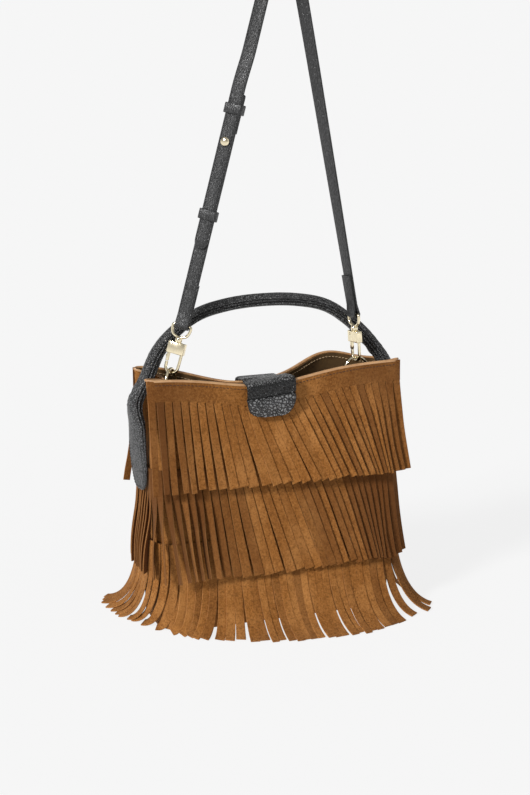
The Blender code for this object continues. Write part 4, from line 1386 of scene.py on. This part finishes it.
def keeper_shape(legs, z, low, high, skew):
    """Leather loop round the strap's layers."""
    face, along = legs.face(0, z), legs.along(0)
    width = along.cross(face)
    centre = legs.middle(0, z)
    play = GAP + KEEPER_HALF_THICK
    half_w = STRAP_WIDTH / 2 + play
    bottom, top = low - play, high + play
    r = 1.0
    corners = ((half_w - r, top - r, 0), (-half_w + r, top - r, 90),
               (-half_w + r, bottom + r, 180), (half_w - r, bottom + r, 270))
    path = []
    for cx, cy, start in corners:
        for turn in steps(start, start + 90, 5):
            a = math.radians(turn)
            path.append((cx + r * math.cos(a), cy + r * math.sin(a), a))
    rings = []
    for x, y, a in path:
        normal = width * math.cos(a) + face * math.sin(a)
        point = centre + width * x + face * y + along * (skew * x)
        ring = []
        for u, v in LEATHER_SECTION:
            offset = math.copysign(KEEPER_HEIGHT / 2 - (1 - abs(u)) * KEEPER_HALF_THICK, u)
            ring.append(point + along * offset + normal * (v * KEEPER_HALF_THICK))
        rings.append(ring)
    shape = Shape()
    shape.loft(rings, closed=True)
    return shape


def build_keepers(legs):
    half = STRAP_THICK / 2
    fixed = keeper_shape(legs, FIXED_KEEPER_Z, -LAYER / 2 - half, LAYER * 1.5 + half, 0.03)
    add_piece("fixed_loop", fixed, STRAP_MAT, "shoulder_strap",
              ("fixed_keeper",))
    sliding = keeper_shape(legs, SLIDING_KEEPER_Z, LAYER / 2 - half, LAYER * 1.5 + half, -0.02)
    add_piece("sliding_loop", sliding, STRAP_MAT, "sliding_keeper",
              ("sliding_keeper",))


def build_carrying_parts():
    left = hook_frame(LEFT_HOOK_AT, LEFT_HOOK_AXIS, LEFT_TURN)
    right = hook_frame(RIGHT_HOOK_AT, RIGHT_HOOK_AXIS, RIGHT_TURN)
    build_hook("left", left)
    build_hook("right", right)
    left_top = LEFT_HOOK_AT + UP * LEFT_RING_RISE
    right_top = RIGHT_HOOK_AT + UP * RIGHT_RING_RISE
    build_ring("left", left_top, compass(LEFT_TURN))
    build_ring("right", right_top, Vector((0, 1, 0)))
    build_ring_loop("left", left_top, compass(LEFT_TURN), Vector((-97.0, -4, 188)))
    build_ring_loop("right", right_top, Vector((0, 1, 0)), Vector((99.5, -4, 182)))
    legs = Legs(left, right)
    build_strap(legs)
    build_keepers(legs)


def finish_cad_nodes():
    kept = {"base_panel": SUEDE_MAT, "tab_magnet": STEEL_MAT, "panel_magnet": STEEL_MAT,
            "left_gate_pin": STEEL_MAT, "right_gate_pin": STEEL_MAT, "stud_screw": GOLD_MAT}
    for node, finish in kept.items():
        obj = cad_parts[node]
        obj.data.materials.clear()
        obj.data.materials.append(finish)


# ---------------------------------------------------------------- stage

FLOOR_HALF = 80
FLOOR_Z = -0.0002


def build_floor():
    made, surface, _, _ = material("floor_pale")
    surface.inputs["Base Color"].default_value = rgb(0.1, 0.1, 0.1)
    surface.inputs["Emission Color"].default_value = rgb(1, 1, 1)
    surface.inputs["Emission Strength"].default_value = 0.83
    surface.inputs["Roughness"].default_value = 0.9
    surface.inputs["Specular IOR Level"].default_value = 0.0
    mesh = bpy.data.meshes.new("floor")
    mesh.from_pydata([(x * FLOOR_HALF, y * FLOOR_HALF, FLOOR_Z)
                      for x, y in ((-1, -1), (1, -1), (1, 1), (-1, 1))], [], [(0, 1, 2, 3)])
    mesh.materials.append(made)
    floor = bpy.data.objects.new("floor", mesh)
    bpy.context.scene.collection.objects.link(floor)


def build_world():
    """Soft studio light: bright above, and a bright low band on the left for the metal."""
    world = bpy.data.worlds.new("studio")
    bpy.context.scene.world = world
    world.use_nodes = True
    tree = world.node_tree
    coords = tree.nodes.new("ShaderNodeTexCoord")
    split = tree.nodes.new("ShaderNodeSeparateXYZ")
    tree.links.new(coords.outputs["Generated"], split.inputs[0])

    def level(axis, limits):
        new = tree.nodes.new("ShaderNodeMapRange")
        tree.links.new(split.outputs[axis], new.inputs["Value"])
        for index, value in enumerate(limits, 1):
            new.inputs[index].default_value = value
        return new.outputs["Result"]

    def combined(operation, a, b):
        new = tree.nodes.new("ShaderNodeMath")
        new.operation = operation
        tree.links.new(a, new.inputs[0])
        tree.links.new(b, new.inputs[1])
        return new.outputs[0]

    sky = level("Z", (0.1, 0.9, 0.35, 1.0))
    horizon = level("Z", (0.05, 0.4, 1.9, 0.0))
    side = level("X", (-0.1, 0.55, 1.0, 0.12))
    skyline = level("Z", (0.03, 0.08, 2.1, 0.0))
    glowing = combined("ADD", combined("MULTIPLY", horizon, side), sky)
    glow = tree.nodes["Background"]
    tree.links.new(combined("MAXIMUM", glowing, skyline), glow.inputs["Color"])
    glow.inputs["Strength"].default_value = 0.36


def build_lamps():
    for name, at, strength, angle in (("key", (-1.35, -0.7, 0.95), 3.3, 12),
                                      ("fill", (0.7, -1.0, 0.7), 0.3, 60)):
        lamp = bpy.data.lights.new(name, "SUN")
        lamp.energy = strength
        lamp.angle = math.radians(angle)
        light = bpy.data.objects.new(name, lamp)
        light.rotation_mode = "QUATERNION"
        light.rotation_quaternion = Vector(at).to_track_quat("Z", "Y")
        bpy.context.scene.collection.objects.link(light)


def build_camera():
    """Camera at the photograph's viewing angle: 19.5 degrees to the left, 15 above."""
    data = bpy.data.cameras.new("camera")
    data.sensor_width = 36
    data.lens = 73.1
    azimuth, elevation, distance = math.radians(19.5), math.radians(15), 1.48
    target = Vector((-0.0018, 0, 0.201))
    back = Vector((-math.sin(azimuth) * math.cos(elevation),
                   -math.cos(azimuth) * math.cos(elevation), math.sin(elevation)))
    camera = bpy.data.objects.new("camera", data)
    camera.location = target + back * distance
    camera.rotation_mode = "QUATERNION"
    camera.rotation_quaternion = (-back).to_track_quat("-Z", "Y")
    data.clip_end = 200
    bpy.context.scene.collection.objects.link(camera)
    bpy.context.scene.camera = camera


bpy.context.scene.view_settings.view_transform = "Standard"
build_camera()
build_floor()
build_world()
build_lamps()
build_body()
build_fringe()
build_handle()
build_closure()
build_carrying_parts()
finish_cad_nodes()
